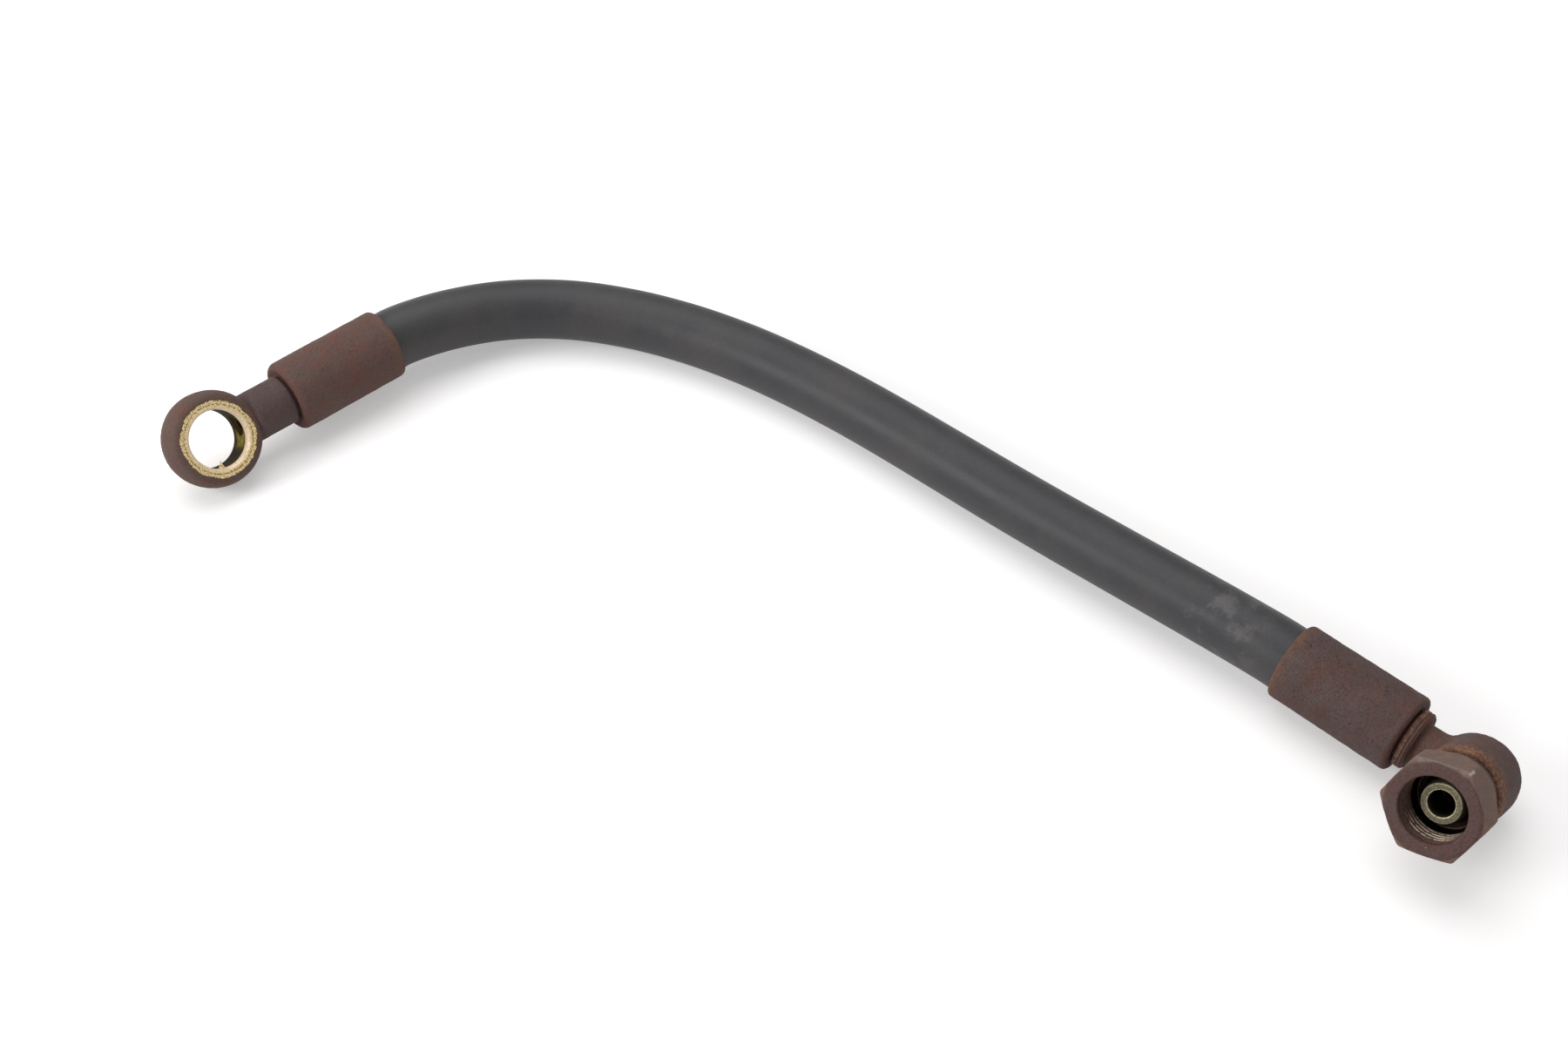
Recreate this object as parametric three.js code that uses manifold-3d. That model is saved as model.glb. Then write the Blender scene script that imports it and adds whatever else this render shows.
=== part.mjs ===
// Hydraulic suspension hose: a short rubber hose with a crimped ferrule at each end,
// a banjo ring on one end and a compact right-angle elbow with a swivel union nut on the other.
// Millimetres, +Z up. The assembly lies on the plane z = 0 as it comes to rest.

import * as THREE from 'three';
import * as BufferGeometryUtils from 'three/addons/utils/BufferGeometryUtils.js';
import Module from 'manifold-3d';

const wasm = await Module();
wasm.setup();

// Clearance between pieces that grip, seat on or turn around each other
const FIT = 0.3;

// Hose
const HOSE_OD = 17.6;
const HOSE_BORE = 9.5;
const HOSE_SIDES = 12;
const HOSE_STEPS = 27;

// Centre line of the free hose, from the mouth of the banjo ferrule to the mouth of the elbow ferrule
const ROUTE = [
  [-116.85, 88.1, 13.54],
  [-113.5, 91.11, 13.54],
  [-100.61, 98.78, 12.6],
  [-83.73, 104.93, 11],
  [-65.24, 105.93, 10.1],
  [-47.12, 102.68, 9.4],
  [-30.18, 96.58, 9],
  [-13.7, 87.93, 8.9],
  [1.3, 77.98, 8.9],
  [15.95, 66.68, 9],
  [29.93, 54.53, 9.35],
  [43.1, 42.33, 9.8],
  [56.61, 29.73, 10.25],
  [70.33, 17.23, 10.7],
  [83.8, 5.33, 11.15],
  [97.68, -6.82, 11.6],
  [111.15, -18.77, 12.1],
  [122.07, -28.69, 12.41],
  [125.35, -31.76, 12.27],
];

// Ferrules: crimped steel sleeves, alike at both ends
const FERRULE_WALL = 1.25;
const FERRULE_OD = HOSE_OD + 2 * (FIT + FERRULE_WALL);
const FERRULE_LENGTH = 34.0;
const FERRULE_WEB = 3.8; // inturned end that locks behind the tail's shoulder
const FERRULE_LIP = 1.4; // rounding of the mouth
const FERRULE_EDGE = 1.8; // rounding of the closed end

// Hose tails: barbed inserts with a shoulder and a crimp groove
const TAIL_OD = HOSE_BORE - 3 * FIT;
const TAIL_WALL = 1.1;
const TAIL_BORE = TAIL_OD - 2 * TAIL_WALL;
const TAIL_LENGTH = 25.0; // barbed length inside the hose
const BARB_COUNT = 5;
const BARB_DEPTH = 0.35;
const BARB_LEAD = 4.0; // plain length between the last barb and the shoulder
const SHOULDER_INSET = 1.7; // the shoulder lies this far inside the hose's surface
const SHOULDER_OD = HOSE_OD - 2 * SHOULDER_INSET;
const SHOULDER_LENGTH = 2.2;
const GROOVE_DEPTH = 1.0;
const GROOVE_OD = SHOULDER_OD - 2 * GROOVE_DEPTH;
const SPIGOT_OD = TAIL_OD; // end of the tail that is brazed into the ring or the elbow

// Stations along the neck are measured from the ferrule's mouth, away from the hose
const WEB_FACE = FERRULE_LENGTH - FERRULE_WEB;
const SHOULDER_START = WEB_FACE - FIT - SHOULDER_LENGTH;
const HOSE_END_SPACE = 2.2; // between the hose's cut end and the shoulder
const HOSE_GRIP = SHOULDER_START - HOSE_END_SPACE; // length held inside each ferrule

// Banjo end
const BANJO_REACH = 24.2; // ring centre beyond the ferrule's end
const BANJO_NECK_OD = 14.3;
const RING_OD = 27.3;
const RING_THICKNESS = 13.0;
const RING_BORE = 16.4;
const RING_CHAMFER = 0.6;
const RING_SOCKET_WALL = 1.3; // metal left between the bore and the bottom of the tail's socket
const BANJO_ROLL = -54.0; // lean of the ring's axis from vertical, in degrees about the neck

// Elbow end
const ELBOW_REACH = 18.1; // elbow centre beyond the ferrule's end
const COLLAR_OD = 15.8;
const COLLAR_LENGTH = 2.8;
const COLLAR_CHAMFER = 0.7;
const ELBOW_NECK_OD = 11.0;
const ELBOW_OD = 21.2;
const ELBOW_BACK = 1.8; // straight wall behind the elbow centre
const ELBOW_DOME = 6.3; // height of the rounded back
const ELBOW_FRONT = 12.6; // front shoulder ahead of the elbow centre
const ELBOW_SOCKET_DEPTH = 4.4;
const ELBOW_CHAMFER = 0.5;
const ELBOW_ROLL = 61.4; // lean of the nut's axis from vertical, in degrees about the neck

// Cone nose that the union nut pulls into its seat
const NOSE_BORE = 6.6;
const NOSE_TIP_OD = 9.9;
const NOSE_CONE_ANGLE = 24;
const NOSE_LENGTH = 10.7; // from the front shoulder to the tip
const NOSE_NECK_OD = 12.8;
const NOSE_NECK_LENGTH = 3.0;
const NOSE_FLANGE_OD = 15.6;
const NOSE_FLANGE_LENGTH = 1.4;
const NOSE_TIP_CHAMFER = 0.35;

// Union nut
const NUT_AF = 22.7;
const NUT_CORNER_WEAR = 0.25; // worn off each corner
const NUT_FACE_INSET = 0.35; // from the flats in to the turned rim of the front face
const NUT_GAP = 0.6; // between the elbow's front shoulder and the nut's skirt
const NUT_RECESS = 6.2; // the nut's face stands this far ahead of the nose
const NUT_HEX_LENGTH = 10.5;
const NUT_FRONT_CHAMFER_ANGLE = 30; // both chamfer angles are measured from the face plane
const NUT_REAR_CHAMFER_ANGLE = 63;
const NUT_SKIRT_OD = 19.2;
const NUT_LIP_LENGTH = 1.8;
const NUT_THREAD_BORE = 16.4; // crest diameter of the M18 x 1.5 thread
const NUT_THREAD_LENGTH = 9.2;
const NUT_RELIEF_OD = 17.2;
const NUT_MOUTH_CHAMFER = 0.3;
const NUT_TURN = 16.7; // rest angle of a corner about the nut's axis, in degrees

const TURN_SIDES = 36;
const SMALL_SIDES = 24;

const toRadians = THREE.MathUtils.degToRad;

// Solid of a closed geometry, with shared vertices merged and collapsed triangles left out.
function solidOf(geometry) {
  const bare = geometry.clone();
  bare.deleteAttribute('normal');
  bare.deleteAttribute('uv');
  const merged = BufferGeometryUtils.mergeVertices(bare, 1e-4);
  const corners = merged.index.array;
  const kept = [];
  for (let i = 0; i < corners.length; i += 3) {
    const [a, b, c] = [corners[i], corners[i + 1], corners[i + 2]];
    if (a !== b && b !== c && a !== c) {
      kept.push(a, b, c);
    }
  }
  return new wasm.Manifold(new wasm.Mesh({
    numProp: 3,
    vertProperties: new Float32Array(merged.attributes.position.array),
    triVerts: new Uint32Array(kept),
  }));
}

function geometryOf(solid) {
  const mesh = solid.getMesh();
  const geometry = new THREE.BufferGeometry();
  geometry.setAttribute('position', new THREE.BufferAttribute(mesh.vertProperties, 3));
  geometry.setIndex(new THREE.BufferAttribute(mesh.triVerts, 1));
  geometry.computeVertexNormals();
  return geometry;
}

// Turned solid about +Z. The profile lists [radius, height] counter-clockwise, closed or axis to axis.
function turned(profile, sides = TURN_SIDES) {
  const points = profile.map(([radius, height]) => new THREE.Vector2(radius, height));
  const onAxis = profile[0][0] === 0 && profile.at(-1)[0] === 0;
  if (!onAxis) {
    points.push(points[0].clone());
  }
  return solidOf(new THREE.LatheGeometry(points, sides).rotateX(Math.PI / 2));
}

// The same along +X, which is the axis of the neck, the tail and the ferrule.
function turnedAlongNeck(profile, sides = TURN_SIDES) {
  const points = profile.map(([radius, height]) => new THREE.Vector2(radius, height));
  const onAxis = profile[0][0] === 0 && profile.at(-1)[0] === 0;
  if (!onAxis) {
    points.push(points[0].clone());
  }
  const geometry = new THREE.LatheGeometry(points, sides).rotateX(Math.PI / 2).rotateY(Math.PI / 2);
  return solidOf(geometry);
}

// Points on an arc of an ellipse in a profile, from one angle to another in degrees.
function arc(radius, height, radiusReach, heightReach, from, to, steps) {
  const points = [];
  for (let i = 0; i <= steps; i += 1) {
    const angle = toRadians(from + ((to - from) * i) / steps);
    points.push([radius + radiusReach * Math.cos(angle), height + heightReach * Math.sin(angle)]);
  }
  return points;
}

// Round bar about +X, used as a cutting tool for bores and sockets.
function barAlongNeck(diameter, from, to, sides = SMALL_SIDES) {
  const geometry = new THREE.CylinderGeometry(diameter / 2, diameter / 2, to - from, sides);
  return solidOf(geometry.rotateZ(-Math.PI / 2).translate((from + to) / 2, 0, 0));
}

function namedMesh(name, solid, colour, roughness, metalness) {
  const material = new THREE.MeshStandardMaterial({ color: colour, roughness, metalness });
  const mesh = new THREE.Mesh(geometryOf(solid), material);
  mesh.name = name;
  return mesh;
}

const RUST = 0x57463f;
const DARK_RUST = 0x564745;
const ORANGE_RUST = 0x6b4a35;
const RUBBER = 0x494749;

function ferrule() {
  const outer = FERRULE_OD / 2;
  const bore = HOSE_OD / 2 + FIT;
  const hole = GROOVE_OD / 2 + FIT;
  const lip = Math.min(FERRULE_LIP, outer - bore - 0.05);
  return turnedAlongNeck([
    [hole, WEB_FACE],
    [bore, WEB_FACE],
    [bore, 0],
    ...arc(outer - lip, FERRULE_LIP, lip, FERRULE_LIP, -90, 0, 4),
    ...arc(outer - FERRULE_EDGE, FERRULE_LENGTH - FERRULE_EDGE, FERRULE_EDGE, FERRULE_EDGE, 0, 90, 4),
    [hole, FERRULE_LENGTH],
  ]);
}

// Barbed part of a tail, its shoulder and its groove, as a profile that runs outwards along the neck.
function tailProfile() {
  const root = TAIL_OD / 2 - BARB_DEPTH;
  const shoulderEnd = SHOULDER_START + SHOULDER_LENGTH;
  const tip = SHOULDER_START - TAIL_LENGTH;
  const pitch = (TAIL_LENGTH - BARB_LEAD) / BARB_COUNT;
  const points = [[root, tip]];
  for (let i = 0; i < BARB_COUNT; i += 1) {
    const start = tip + i * pitch;
    points.push([TAIL_OD / 2, start + pitch * 0.7], [root, start + pitch]);
  }
  points.push(
    [root, SHOULDER_START],
    [SHOULDER_OD / 2, SHOULDER_START],
    [SHOULDER_OD / 2, shoulderEnd],
    [GROOVE_OD / 2, shoulderEnd],
    [GROOVE_OD / 2, FERRULE_LENGTH + FIT],
  );
  return points;
}

function banjoTail() {
  const centre = FERRULE_LENGTH + BANJO_REACH;
  const socketBottom = centre - RING_BORE / 2 - RING_SOCKET_WALL;
  const neckEnd = centre - RING_BORE / 2;
  const bore = TAIL_BORE / 2;
  const profile = tailProfile();
  const tip = profile[0][1];
  const neck = turnedAlongNeck([
    ...profile,
    [BANJO_NECK_OD / 2, FERRULE_LENGTH + FIT],
    [BANJO_NECK_OD / 2, neckEnd],
    [bore, neckEnd],
    [bore, tip],
  ]);
  const ringSpace = solidOf(
    new THREE.SphereGeometry(RING_OD / 2 + FIT, TURN_SIDES, TURN_SIDES / 2).translate(centre, 0, 0),
  );
  const spigot = barAlongNeck(SPIGOT_OD, neckEnd - RING_OD / 4, socketBottom - FIT)
    .subtract(barAlongNeck(TAIL_BORE, neckEnd - RING_OD / 2, centre));
  return neck.subtract(ringSpace).add(spigot);
}

function banjoRing() {
  const half = RING_THICKNESS / 2;
  const outer = RING_OD / 2;
  const bore = RING_BORE / 2;
  const faceAngle = THREE.MathUtils.radToDeg(Math.asin(half / outer));
  const ring = turned([
    [bore, -half + RING_CHAMFER],
    [bore + RING_CHAMFER, -half],
    ...arc(0, 0, outer, outer, -faceAngle, faceAngle, 8),
    [bore + RING_CHAMFER, half],
    [bore, half - RING_CHAMFER],
  ]);
  const socket = barAlongNeck(SPIGOT_OD + 2 * FIT, -RING_OD, -bore - RING_SOCKET_WALL);
  const passage = barAlongNeck(TAIL_BORE, -RING_OD, 0);
  return ring.subtract(socket).subtract(passage);
}

function elbowTail() {
  const centre = FERRULE_LENGTH + ELBOW_REACH;
  const collarStart = FERRULE_LENGTH + FIT;
  const collarEnd = collarStart + COLLAR_LENGTH;
  const spigotEnd = centre - ELBOW_OD / 2 + ELBOW_SOCKET_DEPTH - FIT;
  const bore = TAIL_BORE / 2;
  const profile = tailProfile();
  const tip = profile[0][1];
  const neck = turnedAlongNeck([
    ...profile,
    [COLLAR_OD / 2, collarStart],
    [COLLAR_OD / 2, collarEnd - COLLAR_CHAMFER],
    [COLLAR_OD / 2 - COLLAR_CHAMFER, collarEnd],
    [ELBOW_NECK_OD / 2, collarEnd],
    [ELBOW_NECK_OD / 2, centre - ELBOW_OD / 4],
    [bore, centre - ELBOW_OD / 4],
    [bore, tip],
  ]);
  const bodySpace = solidOf(
    new THREE.CylinderGeometry(ELBOW_OD / 2 + FIT, ELBOW_OD / 2 + FIT, ELBOW_OD * 2, TURN_SIDES)
      .rotateX(Math.PI / 2)
      .translate(centre, 0, 0),
  );
  const spigot = barAlongNeck(SPIGOT_OD, centre - ELBOW_OD * 0.6, spigotEnd)
    .subtract(barAlongNeck(TAIL_BORE, centre - ELBOW_OD, centre));
  return neck.subtract(bodySpace).add(spigot);
}

function elbowBody() {
  const outer = ELBOW_OD / 2;
  const flangeStart = ELBOW_FRONT + NOSE_NECK_LENGTH;
  const flangeEnd = flangeStart + NOSE_FLANGE_LENGTH;
  const tip = ELBOW_FRONT + NOSE_LENGTH;
  const coneBase = NOSE_TIP_OD / 2 + (tip - flangeEnd) * Math.tan(toRadians(NOSE_CONE_ANGLE / 2));
  const body = turned([
    ...arc(0, -ELBOW_BACK, outer, ELBOW_DOME, -90, 0, 8).map(([r, z], i) => [i === 0 ? 0 : r, z]),
    [outer, ELBOW_FRONT - ELBOW_CHAMFER],
    [outer - ELBOW_CHAMFER, ELBOW_FRONT],
    [NOSE_NECK_OD / 2, ELBOW_FRONT],
    [NOSE_NECK_OD / 2, flangeStart],
    [NOSE_FLANGE_OD / 2, flangeStart],
    [NOSE_FLANGE_OD / 2, flangeEnd],
    [coneBase, flangeEnd],
    [NOSE_TIP_OD / 2, tip - NOSE_TIP_CHAMFER],
    [NOSE_TIP_OD / 2 - NOSE_TIP_CHAMFER, tip],
    [0, tip],
  ]);
  const bore = solidOf(
    new THREE.CylinderGeometry(NOSE_BORE / 2, NOSE_BORE / 2, tip + NOSE_BORE, SMALL_SIDES)
      .rotateX(Math.PI / 2)
      .translate(0, 0, (tip + NOSE_BORE) / 2 - NOSE_BORE / 2),
  );
  const socket = barAlongNeck(SPIGOT_OD + 2 * FIT, -ELBOW_OD, -outer + ELBOW_SOCKET_DEPTH);
  const passage = barAlongNeck(TAIL_BORE, -ELBOW_OD, 0);
  return body.subtract(bore).subtract(socket).subtract(passage);
}

function unionNut() {
  const rear = ELBOW_FRONT + NUT_GAP;
  const face = ELBOW_FRONT + NOSE_LENGTH + NUT_RECESS;
  const hexRear = face - NUT_HEX_LENGTH;
  const flat = NUT_AF / 2;
  const corner = flat / Math.cos(Math.PI / 6);
  const worn = corner - NUT_CORNER_WEAR;
  const rim = flat - NUT_FACE_INSET;
  const rearRise = (worn - flat) * Math.tan(toRadians(NUT_REAR_CHAMFER_ANGLE));
  const frontDrop = (worn - rim) * Math.tan(toRadians(NUT_FRONT_CHAMFER_ANGLE));
  const lipEnd = rear + NUT_LIP_LENGTH;
  const threadEnd = face - NUT_THREAD_LENGTH;
  const thread = NUT_THREAD_BORE / 2;
  const hexagon = new THREE.Shape();
  for (let i = 0; i < 6; i += 1) {
    const angle = (i * Math.PI) / 3;
    const point = [corner * Math.cos(angle), corner * Math.sin(angle)];
    if (i === 0) {
      hexagon.moveTo(...point);
    } else {
      hexagon.lineTo(...point);
    }
  }
  hexagon.closePath();
  const prism = solidOf(
    new THREE.ExtrudeGeometry(hexagon, { depth: face - rear, bevelEnabled: false }).translate(0, 0, rear),
  );
  const envelope = turned([
    [0, rear],
    [NUT_SKIRT_OD / 2, rear],
    [flat, hexRear],
    [worn, hexRear + rearRise],
    [worn, face - frontDrop],
    [rim, face],
    [0, face],
  ], TURN_SIDES);
  const hollow = turned([
    [0, rear - 1],
    [NOSE_NECK_OD / 2 + FIT, rear - 1],
    [NOSE_NECK_OD / 2 + FIT, lipEnd],
    [NUT_RELIEF_OD / 2, lipEnd],
    [NUT_RELIEF_OD / 2, threadEnd],
    [thread, threadEnd],
    [thread, face - NUT_MOUTH_CHAMFER],
    [thread + NUT_MOUTH_CHAMFER + 1, face + 1],
    [0, face + 1],
  ]);
  return prism.intersect(envelope).subtract(hollow);
}

// Unit vector out of the hose at one end of the route.
function outward(end, inner) {
  return new THREE.Vector3(...end).sub(new THREE.Vector3(...inner)).normalize();
}

const START_OUT = outward(ROUTE[0], ROUTE[1]);
const END_OUT = outward(ROUTE.at(-1), ROUTE.at(-2));

function hoseBody() {
  const start = new THREE.Vector3(...ROUTE[0]);
  const end = new THREE.Vector3(...ROUTE.at(-1));
  const path = new THREE.CatmullRomCurve3([
    start.clone().addScaledVector(START_OUT, HOSE_GRIP),
    start.clone().addScaledVector(START_OUT, HOSE_GRIP / 2),
    ...ROUTE.map((point) => new THREE.Vector3(...point)),
    end.clone().addScaledVector(END_OUT, HOSE_GRIP / 2),
    end.clone().addScaledVector(END_OUT, HOSE_GRIP),
  ]);
  const section = new THREE.Shape();
  section.absarc(0, 0, HOSE_OD / 2, 0, 2 * Math.PI, false);
  const bore = new THREE.Path();
  bore.absarc(0, 0, HOSE_BORE / 2, 0, 2 * Math.PI, true);
  section.holes.push(bore);
  return solidOf(new THREE.ExtrudeGeometry(section, {
    steps: HOSE_STEPS,
    curveSegments: HOSE_SIDES / 2,
    extrudePath: path,
  }));
}

// Group whose +X leaves the hose at one end, rolled about that line.
function endFitting(mouth, direction, roll) {
  const group = new THREE.Group();
  group.position.set(...mouth);
  group.rotation.set(
    toRadians(roll),
    -Math.asin(direction.z),
    Math.atan2(direction.y, direction.x),
    'ZYX',
  );
  return group;
}

const suspensionHose = new THREE.Group();

suspensionHose.add(namedMesh('hose', hoseBody(), RUBBER, 0.75, 0));

const banjoEnd = endFitting(ROUTE[0], START_OUT, BANJO_ROLL);
const ring = namedMesh('banjo_ring', banjoRing(), RUST, 0.7, 0.5);
ring.position.x = FERRULE_LENGTH + BANJO_REACH;
banjoEnd.add(
  ring,
  namedMesh('banjo_hose_tail', banjoTail(), RUST, 0.7, 0.5),
  namedMesh('banjo_ferrule', ferrule(), DARK_RUST, 0.75, 0.5),
);
suspensionHose.add(banjoEnd);

const elbowEnd = endFitting(ROUTE.at(-1), END_OUT, ELBOW_ROLL);
const elbow = namedMesh('elbow_body', elbowBody(), RUST, 0.7, 0.5);
elbow.position.x = FERRULE_LENGTH + ELBOW_REACH;
const nut = namedMesh('union_nut', unionNut(), DARK_RUST, 0.7, 0.5);
nut.position.x = FERRULE_LENGTH + ELBOW_REACH;
nut.rotation.z = toRadians(NUT_TURN);
elbowEnd.add(
  elbow,
  nut,
  namedMesh('elbow_hose_tail', elbowTail(), ORANGE_RUST, 0.8, 0.4),
  namedMesh('elbow_ferrule', ferrule(), DARK_RUST, 0.75, 0.5),
);
suspensionHose.add(elbowEnd);

export default suspensionHose;
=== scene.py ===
import logging
import math
from collections.abc import Callable
from dataclasses import dataclass, field
from enum import Enum

import bmesh
import bpy
from mathutils import Matrix, Vector, noise


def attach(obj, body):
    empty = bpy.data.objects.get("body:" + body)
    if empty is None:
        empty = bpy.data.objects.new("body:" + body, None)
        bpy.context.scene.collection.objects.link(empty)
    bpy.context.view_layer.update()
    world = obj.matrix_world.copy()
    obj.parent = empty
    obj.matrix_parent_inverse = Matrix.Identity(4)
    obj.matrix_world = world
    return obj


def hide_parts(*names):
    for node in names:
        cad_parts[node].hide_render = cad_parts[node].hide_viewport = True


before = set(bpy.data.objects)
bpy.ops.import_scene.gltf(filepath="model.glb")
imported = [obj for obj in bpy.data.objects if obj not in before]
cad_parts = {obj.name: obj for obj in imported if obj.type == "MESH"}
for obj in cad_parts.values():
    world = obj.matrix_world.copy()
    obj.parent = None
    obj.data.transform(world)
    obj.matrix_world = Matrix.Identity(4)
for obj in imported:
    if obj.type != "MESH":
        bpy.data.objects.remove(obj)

LOG = logging.getLogger("suspension_hose")

MM = 0.001
TURN = 2 * math.pi
NECK_AXIS = Matrix.Rotation(math.pi / 2, 4, "Y")
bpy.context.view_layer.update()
WHOLE = 9.0  # a step longer than the profile edges that stay unsplit
RUST_METALLIC = 0.05
RUST_SPECULAR = 0.15

Colour = tuple[float, float, float]
Point = tuple[float, float, float]
Profile = list[tuple[float, float, float]]
Laid = dict[bmesh.types.BMVert, tuple[float, float]]
Socket = bpy.types.NodeSocket
Value = Socket | float
Tint = Socket | Colour


class Body(str, Enum):
    """The bodies that pieces ride on."""

    HOSE = "hose_assembly"
    NUT = "nut"


class Slot(str, Enum):
    """The record's material slots."""

    RUBBER = "black_rubber"
    STEEL = "rusted_steel"
    FERRULE = "rusted_ferrule_steel"
    ORANGE = "orange_rusted_steel"
    NUT = "rusted_nut_steel"


def srgb(red: int, green: int, blue: int) -> Colour:
    """Linear colour of an 8-bit display colour.

    Args:
        red: Red, 0 to 255.
        green: Green, 0 to 255.
        blue: Blue, 0 to 255.

    Returns:
        The colour as Blender's sockets take it, without alpha.
    """
    return tuple(
        c / 12.92 if c <= 0.04045 else ((c + 0.055) / 1.055) ** 2.4
        for c in (red / 255, green / 255, blue / 255)
    )


@dataclass(frozen=True)
class Placing:
    """Where an end fitting sits: its hose mouth, the way it points and its roll."""

    mouth: Vector
    outwards: Vector
    roll: float

    def matrix(self, station: float = 0.0) -> Matrix:
        """Frame of the fitting in the row frame, millimetres in and metres out.

        Args:
            station: Distance along the neck from the ferrule's mouth, in millimetres.

        Returns:
            The frame's matrix, with +X out of the hose.
        """
        heading = math.atan2(self.outwards.y, self.outwards.x)
        rise = math.asin(self.outwards.z)
        turn = (
            Matrix.Rotation(heading, 4, "Z")
            @ Matrix.Rotation(-rise, 4, "Y")
            @ Matrix.Rotation(math.radians(self.roll), 4, "X")
        )
        place = Matrix.Translation(self.mouth + self.outwards * station * MM)
        return place @ turn @ Matrix.Scale(MM, 4)


@dataclass(frozen=True)
class Patches:
    """Cloudy patches: noise that is cut off softly between two levels."""

    scale: float
    low: float
    high: float
    detail: float = 3.0
    rough: float = 0.55
    seed: float = 0.0


class NodeSheet:
    """A material's node tree, with short calls for the nodes that the finishes use."""

    def __init__(self, name: str, place: Matrix | None = None) -> None:
        """Starts a material.

        Args:
            name: The material's name.
            place: Frame whose millimetres the pattern follows; the mesh's UV map if None.
        """
        self.material = bpy.data.materials.new(name)
        self.material.use_nodes = True
        self.tree = self.material.node_tree
        self.shader = self.tree.nodes["Principled BSDF"]
        coordinates = self.tree.nodes.new("ShaderNodeTexCoord")
        if place is None:
            self.place = coordinates.outputs["UV"]
        else:
            inverse = place.inverted()
            mapping = self.tree.nodes.new("ShaderNodeMapping")
            mapping.inputs["Location"].default_value = inverse.to_translation()
            mapping.inputs["Rotation"].default_value = inverse.to_euler()
            mapping.inputs["Scale"].default_value = (1 / MM,) * 3
            self.tree.links.new(coordinates.outputs["Object"], mapping.inputs["Vector"])
            self.place = mapping.outputs["Vector"]

    def _feed(self, socket: Socket, value: Value | Tint | Vector) -> None:
        """Links a socket to another, or sets its value.

        Args:
            socket: The socket to feed.
            value: Another socket, or the value itself.
        """
        if isinstance(value, Socket):
            self.tree.links.new(value, socket)
        elif isinstance(value, tuple) and socket.type == "RGBA":
            socket.default_value = (*value, 1.0)
        else:
            socket.default_value = value

    def math(self, operation: str, first: Value, second: Value = 0.0, third: Value = 0.0) -> Socket:
        """Math node.

        Args:
            operation: The node's operation.
            first: First value or socket.
            second: Second value or socket.
            third: Third value or socket.

        Returns:
            The output socket.
        """
        node = self.tree.nodes.new("ShaderNodeMath")
        node.operation = operation
        for socket, value in zip(node.inputs, (first, second, third)):
            self._feed(socket, value)
        return node.outputs[0]

    def times(self, *values: Value) -> Socket:
        """Product of two or more values.

        Args:
            values: The values or sockets.

        Returns:
            The output socket.
        """
        product, *others = values
        for value in others:
            product = self.math("MULTIPLY", product, value)
        return product

    def scaled(self, value: Value, gain: Value, base: Value) -> Socket:
        """Value times a gain, plus a base."""
        return self.math("MULTIPLY_ADD", value, gain, base)

    def wave(self, value: Value, length: float) -> Socket:
        """Sine wave along a value, of a wavelength."""
        return self.math("SINE", self.times(value, TURN / length))

    def away(self, first: Socket, second: Socket) -> Socket:
        """Distance from the axis that two parts of a place lie across."""
        return self.math("SQRT", self.scaled(first, first, self.times(second, second)))

    def split(self, vector: Socket) -> tuple[Socket, Socket, Socket]:
        """The three parts of a vector.

        Args:
            vector: The vector's socket.

        Returns:
            One socket for each part.
        """
        node = self.tree.nodes.new("ShaderNodeSeparateXYZ")
        self._feed(node.inputs[0], vector)
        return node.outputs[0], node.outputs[1], node.outputs[2]

    def join(self, x: Value, y: Value, z: Value) -> Socket:
        """A vector of three parts.

        Args:
            x: First part.
            y: Second part.
            z: Third part.

        Returns:
            The vector's socket.
        """
        node = self.tree.nodes.new("ShaderNodeCombineXYZ")
        for socket, value in zip(node.inputs, (x, y, z)):
            self._feed(socket, value)
        return node.outputs[0]

    def stretch(self, x: float, y: float, z: float) -> Socket:
        """The pattern's place, scaled unevenly.

        Args:
            x: Scale along the first axis.
            y: Scale along the second axis.
            z: Scale along the third axis.

        Returns:
            The scaled place's socket.
        """
        node = self.tree.nodes.new("ShaderNodeMapping")
        self._feed(node.inputs["Vector"], self.place)
        node.inputs["Scale"].default_value = (x, y, z)
        return node.outputs[0]

    def noise(
        self,
        scale: float,
        detail: float = 3.0,
        rough: float = 0.55,
        place: Socket | None = None,
        seed: float = 0.0,
    ) -> Socket:
        """Noise value around 0.5.

        Args:
            scale: Waves per unit of the place.
            detail: Number of finer layers.
            rough: Strength of the finer layers.
            place: Vector socket; the material's own place if None.
            seed: Offset that tells equal noises apart.

        Returns:
            The value socket.
        """
        node = self.tree.nodes.new("ShaderNodeTexNoise")
        node.noise_dimensions = "4D"
        self._feed(node.inputs["Vector"], self.place if place is None else place)
        node.inputs["W"].default_value = seed
        node.inputs["Scale"].default_value = scale
        node.inputs["Detail"].default_value = detail
        node.inputs["Roughness"].default_value = rough
        return node.outputs["Fac"]

    def patches(self, kind: Patches, place: Socket | None = None) -> Socket:
        """Mask of one kind of patches."""
        cloud = self.noise(kind.scale, kind.detail, kind.rough, place, kind.seed)
        return self.step(cloud, kind.low, kind.high)

    def cells(self, scale: float, place: Socket) -> Socket:
        """Distance to the nearest point of a scattered set, for specks.

        Args:
            scale: Points per unit of the place.
            place: Vector socket.

        Returns:
            The value socket.
        """
        node = self.tree.nodes.new("ShaderNodeTexVoronoi")
        self._feed(node.inputs["Vector"], place)
        node.inputs["Scale"].default_value = scale
        return node.outputs["Distance"]

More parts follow.
